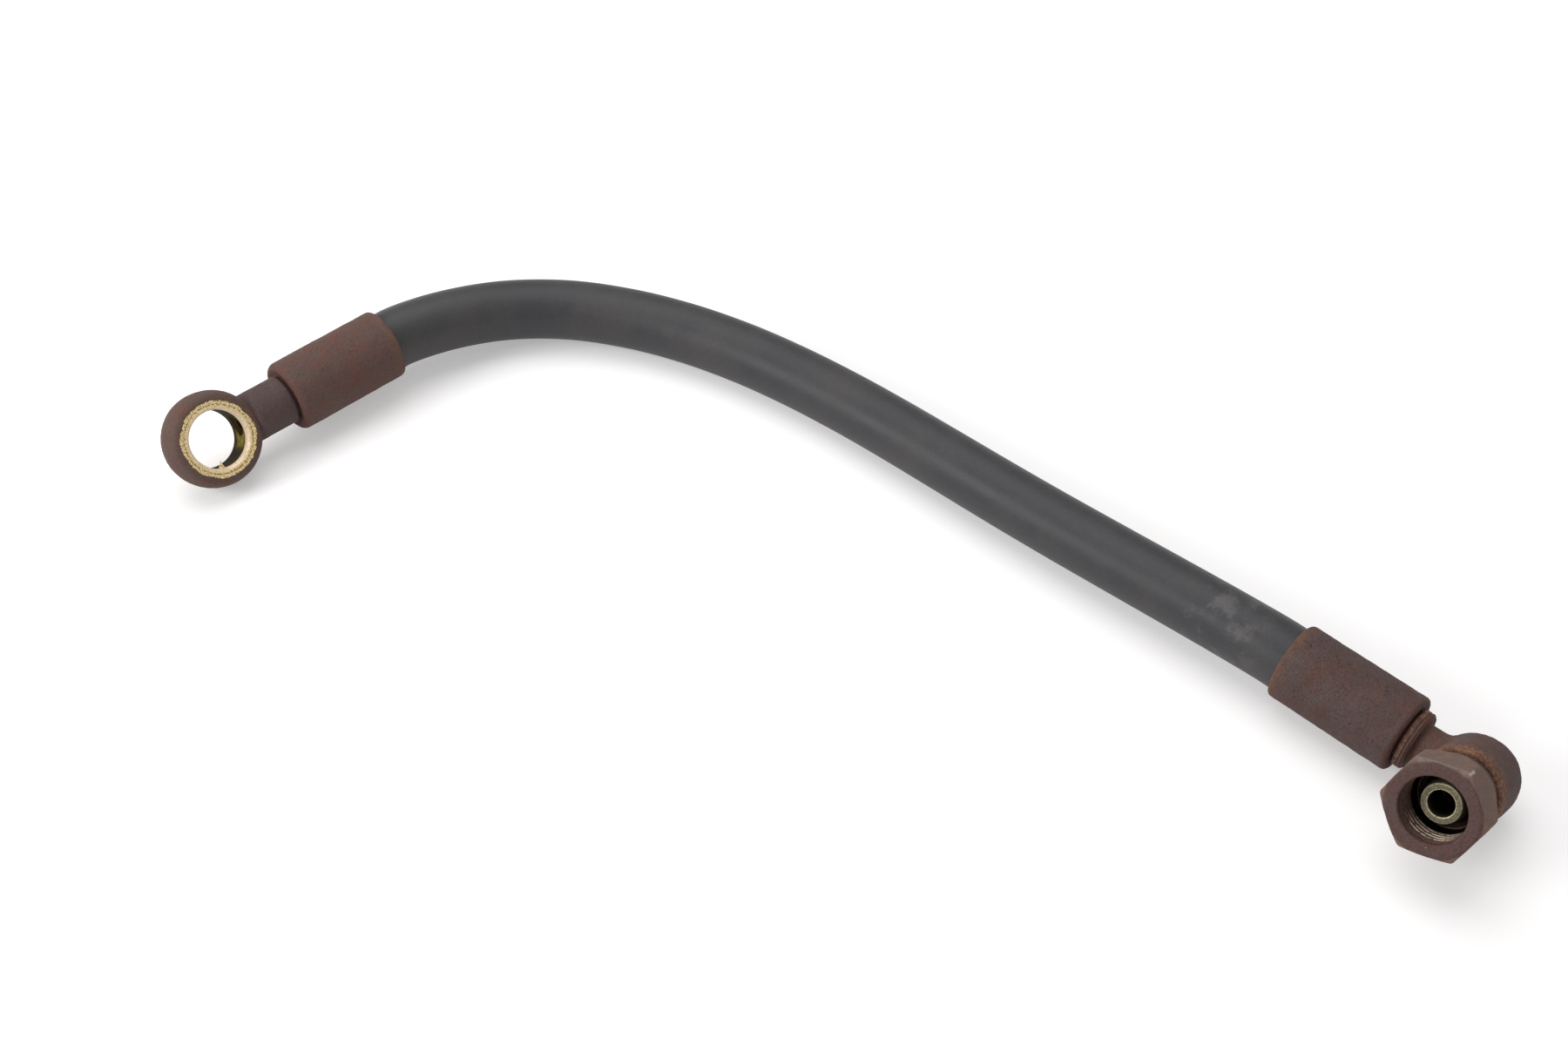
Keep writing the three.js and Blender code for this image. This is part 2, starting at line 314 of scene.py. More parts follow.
    def step(self, value: Value, low: float, high: float) -> Socket:
        """Smooth step from 0 to 1; falling if low is above high.

        Args:
            value: The value that is cut off.
            low: Where the step is 0.
            high: Where the step is 1.

        Returns:
            The step's socket.
        """
        node = self.tree.nodes.new("ShaderNodeMapRange")
        node.interpolation_type = "SMOOTHSTEP"
        self._feed(node.inputs["Value"], value)
        falling = low > high
        node.inputs["From Min"].default_value = min(low, high)
        node.inputs["From Max"].default_value = max(low, high)
        node.inputs["To Min"].default_value = 1.0 if falling else 0.0
        node.inputs["To Max"].default_value = 0.0 if falling else 1.0
        return node.outputs[0]

    def band(self, value: Value, low: float, high: float, soft: float) -> Socket:
        """Mask that is 1 between two values and fades over a soft edge."""
        rise, fall = self.step(value, low - soft, low + soft), self.step(value, high + soft, high - soft)
        return self.times(rise, fall)

    def spot(self, centre: Point, radius: float, soft: float) -> Socket:
        """Mask that is 1 within a ball.

        Args:
            centre: The ball's centre.
            radius: Where the mask is half faded.
            soft: How far the fading reaches to either side.

        Returns:
            The mask's socket.
        """
        node = self.tree.nodes.new("ShaderNodeVectorMath")
        node.operation = "DISTANCE"
        self._feed(node.inputs[0], self.place)
        node.inputs[1].default_value = centre
        return self.step(node.outputs["Value"], radius + soft, max(radius - soft, 0.0))

    def blend(self, amount: Value, under: Tint, over: Tint) -> Socket:
        """Colour that goes from one to another.

        Args:
            amount: 0 for the first colour, 1 for the second.
            under: First colour.
            over: Second colour.

        Returns:
            The colour's socket.
        """
        node = self.tree.nodes.new("ShaderNodeMix")
        node.data_type = "RGBA"
        for index, value in ((0, amount), (6, under), (7, over)):
            self._feed(node.inputs[index], value)
        return node.outputs[2]

    def cover(self, colour: Tint, mask: Value, strength: Value, over: Tint) -> Socket:
        """Colour with another laid over it where a mask says."""
        return self.blend(self.times(mask, strength), colour, over)

    def lerp(self, amount: Value, under: Value, over: Value) -> Socket:
        """Value that goes from one to another.

        Args:
            amount: 0 for the first value, 1 for the second.
            under: First value.
            over: Second value.

        Returns:
            The value's socket.
        """
        node = self.tree.nodes.new("ShaderNodeMix")
        for index, value in ((0, amount), (2, under), (3, over)):
            self._feed(node.inputs[index], value)
        return node.outputs[0]

    def shade(self, colour: Tint, amount: Value) -> Socket:
        """Colour made darker or lighter.

        Args:
            colour: The colour.
            amount: Factor on all its parts.

        Returns:
            The colour's socket.
        """
        node = self.tree.nodes.new("ShaderNodeVectorMath")
        node.operation = "SCALE"
        self._feed(node.inputs[0], colour)
        self._feed(node.inputs["Scale"], amount)
        return node.outputs[0]

    def finish(
        self,
        colour: Tint,
        roughness: Value,
        height: Value,
        relief: float,
        metallic: Value = RUST_METALLIC,
        specular: float = RUST_SPECULAR,
    ) -> bpy.types.Material:
        """Feeds the shader.

        Args:
            colour: The surface's colour.
            roughness: Its roughness.
            height: Height of its grain.
            relief: How far a height of 1 stands up, in metres.
            metallic: How far it is bare metal.
            specular: Strength of its gloss.

        Returns:
            The material.
        """
        bump = self.tree.nodes.new("ShaderNodeBump")
        bump.inputs["Strength"].default_value = 1.0
        bump.inputs["Distance"].default_value = relief
        self._feed(bump.inputs["Height"], height)
        self._feed(self.shader.inputs["Normal"], bump.outputs[0])
        self._feed(self.shader.inputs["Base Color"], colour)
        self._feed(self.shader.inputs["Roughness"], roughness)
        self._feed(self.shader.inputs["Metallic"], metallic)
        self.shader.inputs["Specular IOR Level"].default_value = specular
        return self.material


class Layer(Enum):
    """Noise layers of rust: waves per millimetre, finer layers, their strength, seed."""

    BROAD = (0.11, 3.0, 0.55, 0.0)
    PATCH = (0.26, 4.0, 0.6, 3.1)
    BLOTCH = (0.9, 4.0, 0.65, 9.4)
    FINE = (1.9, 4.0, 0.7, 7.7)
    GRAIN = (5.0, 2.0, 0.6, 11.3)
    STREAK = (0.5, 3.0, 0.6, 1.7)
    HOLE = (1.3, 3.0, 0.75, 4.2)
    PITTED = (0.3, 2.0, 0.55, 5.5)
    SPECKLE = (2.4, 3.0, 0.8, 13.9)


@dataclass(frozen=True)
class Rust:
    """Rusted steel: a brown ground with grey and red patches, mottling, streaks and pits."""

    ground: Colour = srgb(88, 72, 68)
    grey: Colour = srgb(92, 82, 84)
    red: Colour = srgb(96, 60, 52)
    orange: Colour = srgb(138, 92, 62)
    dark: Colour = srgb(42, 34, 35)
    dusty: Colour = srgb(122, 104, 97)
    speck: Colour = srgb(150, 134, 122)
    grey_share: float = 0.5
    red_share: float = 0.45
    orange_share: float = 0.25
    streaks: float = 0.0
    pits: float = 0.5
    mottle: float = 0.42
    seed: float = 0.0

    def _layer(self, sheet: NodeSheet, layer: Layer, place: Socket | None = None) -> Socket:
        """One of the rust's noise layers."""
        scale, detail, rough, seed = layer.value
        return sheet.noise(scale, detail, rough, place, self.seed + seed)

    def paint(self, sheet: NodeSheet) -> tuple[Socket, Socket, Socket]:
        """Lays the rust down on a node sheet.

        Args:
            sheet: The material's nodes.

        Returns:
            Colour, roughness and bump height sockets.
        """
        patch, blotch = self._layer(sheet, Layer.PATCH), self._layer(sheet, Layer.BLOTCH)
        fine, grain = self._layer(sheet, Layer.FINE), self._layer(sheet, Layer.GRAIN)
        greyed = sheet.step(self._layer(sheet, Layer.BROAD), 0.4, 0.62)
        colour = sheet.cover(self.ground, greyed, self.grey_share, self.grey)
        reddened = sheet.step(sheet.scaled(blotch, 0.35, patch), 0.62, 0.86)
        colour = sheet.cover(colour, reddened, self.red_share, self.red)
        if self.streaks:
            lines = self._layer(sheet, Layer.STREAK, sheet.stretch(0.3, 1.6, 1.6))
            colour = sheet.cover(colour, sheet.step(lines, 0.48, 0.72), self.streaks, self.red)
        spots = sheet.times(
            sheet.step(blotch, 0.52, 0.7), sheet.step(patch, 0.44, 0.62), sheet.step(fine, 0.36, 0.6)
        )
        colour = sheet.cover(colour, spots, self.orange_share, self.orange)
        holes = sheet.scaled(self._layer(sheet, Layer.HOLE), 0.6, sheet.times(fine, 0.4))
        pitted = sheet.step(self._layer(sheet, Layer.PITTED), 0.4, 0.6)
        pits = sheet.times(sheet.step(holes, 0.43, 0.36), pitted)
        colour = sheet.cover(colour, pits, self.pits, self.dark)
        speckle = self._layer(sheet, Layer.SPECKLE)
        colour = sheet.cover(colour, sheet.step(speckle, 0.47, 0.36), self.mottle, self.dark)
        colour = sheet.cover(colour, sheet.step(speckle, 0.54, 0.68), 0.6 * self.mottle, self.dusty)
        tone = sheet.scaled(sheet.step(grain, 0.28, 0.72), 0.5, sheet.step(fine, 0.3, 0.7))
        colour = sheet.shade(colour, sheet.scaled(tone, self.mottle / 1.5, 1.0 - self.mottle / 2))
        specks = sheet.step(sheet.cells(0.36, sheet.stretch(1.0, 1.4, 0.8)), 0.05, 0.02)
        specks = sheet.times(specks, sheet.step(grain, 0.4, 0.6))
        colour = sheet.cover(colour, specks, 0.5, self.speck)
        roughness = sheet.scaled(sheet.step(fine, 0.35, 0.65), 0.2, 0.6)
        height = sheet.scaled(grain, 0.3, sheet.times(fine, 0.9))
        height = sheet.math("SUBTRACT", height, sheet.times(pits, 0.8 * self.pits))
        return colour, roughness, height


@dataclass(frozen=True)
class Weather:
    """Uneven surface that rust leaves, as movement of the mesh's points in millimetres."""

    swell: float = 0.06
    swell_size: float = 3.5
    grit: float = 0.035
    grit_size: float = 0.9
    seed: float = 0.0

    def offset(self, point: Vector) -> float:
        """How far a point of the surface moves outwards.

        Args:
            point: The point, in the piece's own millimetres.

        Returns:
            The movement in millimetres.
        """
        shift = Vector((self.seed, -self.seed, 2 * self.seed))
        swell = noise.noise(point / self.swell_size + shift)
        grit = noise.fractal(point / self.grit_size + shift, 0.8, 2.0, 3)
        return self.swell * swell + self.grit * grit


class Maker:
    """Short calls that make and finish meshes."""

    @staticmethod
    def turned(bm: bmesh.types.BMesh, profile: Profile, sides: int) -> None:
        """Turns a closed profile about +Z.

        Args:
            bm: The mesh to make it in.
            profile: Corners as (radius, height, longest step to the next corner).
            sides: Steps round the axis.
        """
        corners = [bm.verts.new((radius, 0, height)) for radius, height, _ in profile]
        pairs = list(zip(corners, corners[1:]))
        if profile[0][0] > 0 or profile[-1][0] > 0:
            pairs.append((corners[-1], corners[0]))
        for (near, end), (_, _, step) in zip(pairs, profile):
            edge = bm.edges.new((near, end))
            for left in range(int(edge.calc_length() / step), 0, -1):
                other, near = bmesh.utils.edge_split(edge, near, 1 / (left + 1))
                edge = edge if end in edge.verts else other
        bmesh.ops.spin(
            bm,
            geom=bm.verts[:] + bm.edges[:],
            cent=(0, 0, 0),
            axis=(0, 0, 1),
            dvec=(0, 0, 0),
            angle=TURN / 4,
            steps=sides // 4,
            use_merge=False,
            use_duplicate=False,
        )
        quarter = bm.verts[:] + bm.edges[:] + bm.faces[:]
        for count in range(1, 4):
            copied = bmesh.ops.duplicate(bm, geom=quarter)["geom"]
            bmesh.ops.rotate(
                bm,
                verts=[item for item in copied if isinstance(item, bmesh.types.BMVert)],
                cent=(0, 0, 0),
                matrix=Matrix.Rotation(count * TURN / 4, 3, "Z"),
            )
        bmesh.ops.remove_doubles(bm, verts=bm.verts, dist=1e-4)
        bmesh.ops.dissolve_degenerate(bm, dist=1e-5, edges=bm.edges)
        bmesh.ops.recalc_face_normals(bm, faces=bm.faces)

    @staticmethod
    def weathered(bm: bmesh.types.BMesh, weather: Weather, exposed: Callable[[Vector], float]) -> None:
        """Moves the exposed points in and out along their normals.

        Args:
            bm: The mesh, in millimetres.
            weather: How uneven the surface is.
            exposed: Tells how much of the weather a point takes, 0 to 1.
        """
        bm.normal_update()
        moves = [
            (v, v.normal * weather.offset(v.co) * share)
            for v in bm.verts
            if (share := exposed(v.co)) > 0
        ]
        for v, move in moves:
            v.co += move

    @staticmethod
    def piece(
        bm: bmesh.types.BMesh, name: str, place: Matrix, crease: float = 32.0
    ) -> bpy.types.Object:
        """Makes an object of a mesh that is in millimetres.

        Args:
            bm: The mesh; it is freed.
            name: The object's name.
            place: Frame of the mesh, millimetres in and metres out.
            crease: Edges sharper than this, in degrees, stay sharp.

        Returns:
            The object, at the origin with its place in its mesh.
        """
        bm.transform(place)
        mesh = bpy.data.meshes.new(name)
        bm.to_mesh(mesh)
        bm.free()
        mesh.shade_smooth()
        mesh.set_sharp_from_angle(angle=math.radians(crease))
        made = bpy.data.objects.new(name, mesh)
        bpy.context.scene.collection.objects.link(made)
        return made

    @staticmethod
    def rod(name: str, radius: float, start: float, end: float, place: Matrix) -> bpy.types.Object:
        """Round bar along the neck, used to cut a bore.

        Args:
            name: The object's name.
            radius: Radius in millimetres.
            start: Where it starts along +X.
            end: Where it ends.
            place: Frame of the bar.

        Returns:
            The bar.
        """
        bm = bmesh.new()
        bmesh.ops.create_cone(
            bm, cap_ends=True, segments=64, radius1=radius, radius2=radius, depth=end - start
        )
        bmesh.ops.rotate(bm, verts=bm.verts, cent=(0, 0, 0), matrix=NECK_AXIS.to_3x3())
        bmesh.ops.translate(bm, verts=bm.verts, vec=((start + end) / 2, 0, 0))
        return Maker.piece(bm, name, place)

    @staticmethod
    def cut(made: bpy.types.Object, tools: list[bpy.types.Object], crease: float = 32.0) -> None:
        """Cuts tools out of a piece and removes them.

        Args:
            made: The piece.
            tools: Closed solids to take away.
            crease: Edges sharper than this, in degrees, stay sharp.
        """
        for tool in tools:
            trim = made.modifiers.new("bore", "BOOLEAN")
            trim.operation = "DIFFERENCE"
            trim.solver = "EXACT"
            trim.object = tool
        graph = bpy.context.evaluated_depsgraph_get()
        shaped = bpy.data.meshes.new_from_object(made.evaluated_get(graph))
        made.modifiers.clear()
        old = made.data
        made.data = shaped
        shaped.name = made.name
        bpy.data.meshes.remove(old)
        shaped.shade_smooth()
        shaped.set_sharp_from_angle(angle=math.radians(crease))
        for tool in tools:
            bpy.data.objects.remove(tool)

    @staticmethod
    def settle(
        made: bpy.types.Object, finish: bpy.types.Material, node: str, body: Body, slot: Slot
    ) -> None:
        """Dresses a piece and puts it in a CAD node's place.

        Args:
            made: The piece.
            finish: Its material.
            node: The node that it stands for.
            body: The body that it rides on.
            slot: The record's material slot; not used.
        """
        made.data.materials.append(finish)
        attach(made, body.value)
        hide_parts(node)
        LOG.info("%s: %d faces, for %s on %s", made.name, len(made.data.polygons), node, body.value)


def soft_least(values: list[float], softness: float) -> float:
    """Smallest of some values, with the corners between them rounded.

    Args:
        values: The values.
        softness: How far off a corner the rounding reaches.

    Returns:
        A value no larger than the smallest.
    """
    least = min(values)
    return least - softness * math.log(sum(math.exp((least - value) / softness) for value in values))


def arc(
    radius: float,
    height: float,
    reach: float,
    rise: float,
    start: float,
    end: float,
    steps: int,
    step: float = WHOLE,
) -> Profile:
    """Corners on an elliptical arc of a profile.

    Args:
        radius: The centre's radius.
        height: The centre's height.
        reach: Semi-axis across.
        rise: Semi-axis along.
        start: First angle in degrees.
        end: Last angle in degrees.
        steps: Number of steps.
        step: Longest step after the last corner.

    Returns:
        The corners.
    """
    corners = []
    for i in range(steps + 1):
        angle = math.radians(start + (end - start) * i / steps)
        corners.append((radius + reach * math.cos(angle), height + rise * math.sin(angle), WHOLE))
    corners[-1] = (*corners[-1][:2], step)
    return corners


@dataclass
class Hose:
    """The rubber hose, from its cut end in one ferrule to its cut end in the other."""

    outside: float = 17.6
    bore: float = 9.5
    grip: float = 25.5
    sides: int = 64
    pace: float = 2.4
    route: list[Point] = field(default_factory=lambda: [
        (-0.11685, 0.0881, 0.01354),
        (-0.1135, 0.09111, 0.01354),
        (-0.10061, 0.09878, 0.0126),
        (-0.08373, 0.10493, 0.011),
        (-0.06524, 0.10593, 0.0101),
        (-0.04712, 0.10268, 0.0094),
        (-0.03018, 0.09658, 0.009),
        (-0.0137, 0.08793, 0.0089),
        (0.0013, 0.07798, 0.0089),
        (0.01595, 0.06668, 0.009),
        (0.02993, 0.05453, 0.00935),
        (0.0431, 0.04233, 0.0098),
        (0.05661, 0.02973, 0.01025),
        (0.07033, 0.01723, 0.0107),
        (0.0838, 0.00533, 0.01115),
        (0.09768, -0.00682, 0.0116),
        (0.11115, -0.01877, 0.0121),
        (0.12207, -0.02869, 0.01241),
        (0.12535, -0.03176, 0.01227),
    ])

    def end(self, first: bool) -> tuple[Vector, Vector]:
        """Mouth and outward direction at one end.

        Args:
            first: True for the banjo end.

        Returns:
            The mouth's centre and the unit vector out of the hose.
        """
        tip, inner = (self.route[0], self.route[1]) if first else (self.route[-1], self.route[-2])
        return Vector(tip), (Vector(tip) - Vector(inner)).normalized()

    def centreline(self) -> list[Vector]:
        """Even points along the whole hose, grips included.

        Returns:
            The points, in metres.
        """
        start, start_out = self.end(True)
        finish, finish_out = self.end(False)
        grip = self.grip * MM
        knots = [start + start_out * grip, start + start_out * grip / 2]
        knots += [Vector(point) for point in self.route]
        knots += [finish + finish_out * grip / 2, finish + finish_out * grip]
        padded = [2 * knots[0] - knots[1], *knots, 2 * knots[-1] - knots[-2]]
        dense = []
        for before, a, b, after in zip(padded, padded[1:], padded[2:], padded[3:]):
            dense += [self._between(before, a, b, after, i / 24) for i in range(24)]
        dense.append(knots[-1])
        return self._evened(dense, self.pace * MM)

    @staticmethod
    def _between(before: Vector, a: Vector, b: Vector, after: Vector, share: float) -> Vector:
        """Point of a centripetal Catmull-Rom curve between two knots.

        Args:
            before: The knot before the two.
            a: The first knot.
            b: The second knot.
            after: The knot after them.
            share: How far the point is from the first to the second, 0 to 1.

        Returns:
            The point.
        """
        spans = [max((q - p).length ** 0.5, 1e-6) for p, q in ((before, a), (a, b), (b, after))]
        leave = (a - before) / spans[0] - (b - before) / (spans[0] + spans[1]) + (b - a) / spans[1]
        reach = (b - a) / spans[1] - (after - a) / (spans[1] + spans[2]) + (after - b) / spans[2]
        leave, reach = leave * spans[1], reach * spans[1]
        c2 = -3 * a + 3 * b - 2 * leave - reach
        c3 = 2 * a - 2 * b + leave + reach
        return a + leave * share + c2 * share**2 + c3 * share**3

    @staticmethod
    def _evened(points: list[Vector], pace: float) -> list[Vector]:
        """Points an even distance apart along a dense line.

        Args:
            points: The dense line.
            pace: Roughly the wanted distance.

        Returns:
            The even points, both ends included.
        """
        total = sum((q - p).length for p, q in zip(points, points[1:]))
        count = round(total / pace)
        gap, evened, walked = total / count, [points[0]], 0.0
        for p, q in zip(points, points[1:]):
            length = (q - p).length
            while len(evened) < count and walked + length >= gap * len(evened):
                evened.append(p.lerp(q, (gap * len(evened) - walked) / length))
            walked += length
        return [*evened, points[-1]]

    def _skin(
        self, bm: bmesh.types.BMesh, line: list[Vector], radius: float
    ) -> tuple[list[list[bmesh.types.BMEdge]], Laid]:
        """Sweeps a circle along the line.

        Args:
            bm: The mesh.
            line: The centreline.
            radius: The circle's radius in metres.

        Returns:
            The edges of the first and of the last ring, and where each point lies
            as its share of a turn and its millimetres along the hose.
        """
        ahead = (line[1] - line[0]).normalized()
        side = ahead.cross(Vector((0, 0, 1))).normalized()
        turn = Matrix((side, side.cross(-ahead), ahead)).transposed().to_4x4()
        ring = bmesh.ops.create_circle(
            bm, cap_ends=False, radius=radius, segments=self.sides, matrix=Matrix.Translation(line[0]) @ turn
        )["verts"]
        first = edges = list({edge for vert in ring for edge in vert.link_edges})
        laid: Laid = {}
        self._lay(laid, ring, line[0], ahead, 0.0)
        gap = (line[1] - line[0]).length / MM
        for count, (here, there) in enumerate(zip(line, line[1:]), start=1):
            grown = bmesh.ops.extrude_edge_only(bm, edges=edges)["geom"]
            ring = [item for item in grown if isinstance(item, bmesh.types.BMVert)]
            edges = [item for item in grown if isinstance(item, bmesh.types.BMEdge)]
            beyond = line[min(count + 1, len(line) - 1)]
            new_ahead = (beyond - here).normalized()
            bend = ahead.rotation_difference(new_ahead).to_matrix()
            bmesh.ops.rotate(bm, verts=ring, cent=here, matrix=bend)
            bmesh.ops.translate(bm, verts=ring, vec=there - here)
            ahead = new_ahead
            self._lay(laid, ring, there, ahead, count * gap)
        return [first, edges], laid

    @staticmethod
    def _lay(
        laid: Laid, ring: list[bmesh.types.BMVert], centre: Vector, ahead: Vector, along: float
    ) -> None:
        """Notes where the points of one ring lie on the hose.

        Args:
            laid: The notes, which it adds to.
            ring: The ring's points.
            centre: The ring's centre.
            ahead: Unit vector along the hose.
            along: Millimetres from the hose's start.
        """
        side = ahead.cross(Vector((0, 0, 1))).normalized()
        over = side.cross(ahead)
        for vert in ring:
            out = vert.co - centre
            laid[vert] = (math.atan2(out.dot(side), out.dot(over)) / TURN, along)

    def build(self) -> bpy.types.Object:
        """Makes the hose with a UV map that runs round it and along it.

        Returns:
            The hose.
        """
        line = self.centreline()
        bm = bmesh.new()
        outer, laid = self._skin(bm, line, self.outside / 2 * MM)
        inner, _ = self._skin(bm, line, self.bore / 2 * MM)
        for out_ring, in_ring in zip(outer, inner):
            bmesh.ops.bridge_loops(bm, edges=out_ring + in_ring)
        bmesh.ops.recalc_face_normals(bm, faces=bm.faces)
        uv = bm.loops.layers.uv.new("UVMap")
        for face in bm.faces:
            spots = [laid.get(loop.vert) for loop in face.loops]
            if None in spots:
                continue
            for loop, (turn, along) in zip(face.loops, spots):
                loop[uv].uv = (turn - round(turn - spots[0][0]), along)
        mesh = bpy.data.meshes.new("rubber_hose")
        bm.to_mesh(mesh)
        bm.free()
        mesh.shade_smooth()
        mesh.set_sharp_from_angle(angle=math.radians(50))
        made = bpy.data.objects.new("rubber_hose", mesh)
        bpy.context.scene.collection.objects.link(made)
        Maker.settle(made, RubberFinish().material(), "hose", Body.HOSE, Slot.RUBBER)
        length = sum((q - p).length for p, q in zip(line, line[1:]))
        shown = length / MM - 2 * self.grip
        LOG.info("hose length %.1f mm, %.1f mm between the ferrules", length / MM, shown)
        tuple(self.route[0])
        return made


@dataclass(frozen=True)
class RubberFinish:
    """Black cover rubber with the faint print of the wrap it was cured in."""

    ground: Colour = srgb(60, 59, 62)
    worn: Colour = srgb(70, 68, 69)
    olive: Colour = srgb(74, 72, 70)
    dust: Colour = srgb(104, 100, 99)
    olive_start: float = 30.0
    olive_end: float = 75.0
    haze_start: float = 292.0
    haze_end: float = 314.0
    haze_fade: float = 6.0
    haze: Patches = Patches(0.16, 0.46, 0.64, 4.0, 0.65, 4.0)
    girth: float = 55.3
    radius: float = 8.8
    wrap: float = 38.0
    weave: float = 0.9
    relief: float = 0.00006
    gloss: float = 0.3

    def material(self) -> bpy.types.Material:
        """The rubber's material, on the hose's own UV map.

        Returns:
            The material.
        """
        sheet = NodeSheet("black_cover_rubber")
        turn, along, _ = sheet.split(sheet.place)
        bearing = sheet.times(turn, TURN)
        solid = sheet.join(
            sheet.times(sheet.math("SINE", bearing), self.radius),
            sheet.times(sheet.math("COSINE", bearing), self.radius),
            along,
        )
        cloudy = sheet.noise(0.05, 4.0, 0.6, solid)
        fine = sheet.noise(1.8, 3.0, 0.6, solid, 2.0)
        colour = sheet.blend(sheet.step(cloudy, 0.4, 0.65), self.ground, self.worn)
        near_end = sheet.step(along, self.olive_end, self.olive_start)
        colour = sheet.cover(colour, near_end, 0.55, self.olive)
        hazy = sheet.band(along, self.haze_start, self.haze_end, self.haze_fade)
        colour = sheet.cover(colour, sheet.times(sheet.patches(self.haze, solid), hazy), 0.5, self.dust)
        colour = sheet.shade(colour, sheet.scaled(sheet.step(fine, 0.3, 0.7), 0.14, 0.93))
        ridges = sheet.wave(sheet.scaled(turn, self.wrap, along), self.wrap)
        across = sheet.wave(sheet.times(turn, self.girth), self.weave)
        weave = sheet.times(sheet.wave(along, self.weave), across)
        height = sheet.scaled(weave, 0.03, sheet.times(fine, 0.5))
        height = sheet.scaled(sheet.step(ridges, 0.93, 1.0), 0.35, height)
        roughness = sheet.scaled(sheet.step(cloudy, 0.35, 0.7), 0.1, 0.44)
        return sheet.finish(colour, roughness, height, self.relief, 0.0, self.gloss)


@dataclass(frozen=True)
class FerruleFinish:
    """Rust with a tan rim at the hose's side, a red one at the other and painted shade in the dished end round
    the hole.
    """

    name: str
    rust: Rust
    length: float
    tan: Colour = srgb(120, 88, 70)
    red: Colour = srgb(100, 62, 55)
    # Painted shade for the dished end round the hole.
    hollow: Colour = srgb(86, 54, 47)
    hollow_edge: float = 7.9
    raggedness: float = 5.0
    cloud_seed: float = 20.0
    relief: float = 0.00022

    def material(self, place: Matrix) -> bpy.types.Material:
        """The ferrule's material.

        Args:
            place: The ferrule's frame, with the hose's axis along X.

        Returns:
            The material.
        """
        sheet = NodeSheet(self.name, place)
        colour, roughness, height = self.rust.paint(sheet)
        along, y, z = sheet.split(sheet.place)
        ragged = sheet.scaled(sheet.noise(0.55, 4.0, 0.65), self.raggedness, along)
        cloud = sheet.patches(Patches(0.35, 0.36, 0.6, 3.0, 0.6, self.rust.seed + self.cloud_seed))
        colour = sheet.cover(colour, sheet.step(ragged, 6.6, 2.6), sheet.scaled(cloud, 0.4, 0.15), self.tan)
        end = sheet.step(ragged, self.length + 0.9, self.length + 2.2)
        colour = sheet.cover(colour, end, 0.45, self.red)
        # Painted shade: the dished end round the hole is darkened.
        shaded_dish = sheet.step(sheet.away(y, z), self.hollow_edge + 0.6, self.hollow_edge)
        colour = sheet.cover(colour, shaded_dish, 0.6, self.hollow)
        return sheet.finish(colour, roughness, height, self.relief)


@dataclass
class CrimpedFerrule:
    """A crimped sleeve, with its mouth at the fitting's origin."""

    name: str
    node: str
    placing: Placing
    rust: Rust
    weather: Weather
    outside: float = 20.7
    length: float = 34.0
    web: float = 3.8
    lip: float = 0.9
    edge: float = 1.8
    bore: float = 18.2
    hole: float = 12.8
    dish: float = 0.45
    sides: int = 252

    def build(self) -> bpy.types.Object:
        """Makes the sleeve.

        Returns:
            The sleeve.
        """
        outer, bore, hole = self.outside / 2, self.bore / 2, self.hole / 2
        lip = min(self.lip, outer - bore - 0.05)
        bm = bmesh.new()
        Maker.turned(
            bm,
            [
                (hole, self.length - self.web, 3.0),
                (bore, self.length - self.web, 6.0),
                (bore, 0.0, 0.4),
                *arc(outer - lip, self.lip, lip, self.lip, -90, 0, 6, step=0.28),
                *arc(outer - self.edge, self.length - self.edge, self.edge, self.edge, 0, 78, 6, step=0.2),
                (outer - self.edge - 0.1, self.length - 0.1, 0.2),
                (hole + 0.7, self.length - self.dish, 0.3),
                (hole, self.length - self.dish, 3.0),
            ],
            self.sides,
        )
        Maker.weathered(
            bm, self.weather, lambda p: 1.0 if p.xy.length > bore + 0.4 or p.z > self.length - 1.5 else 0.0
        )
        bm.transform(NECK_AXIS)
        place = self.placing.matrix()
        made = Maker.piece(bm, self.name, place, 60)
        finish = FerruleFinish(f"{self.name}_rust", self.rust, self.length).material(place)
        Maker.settle(made, finish, self.node, Body.HOSE, Slot.FERRULE)
        return made


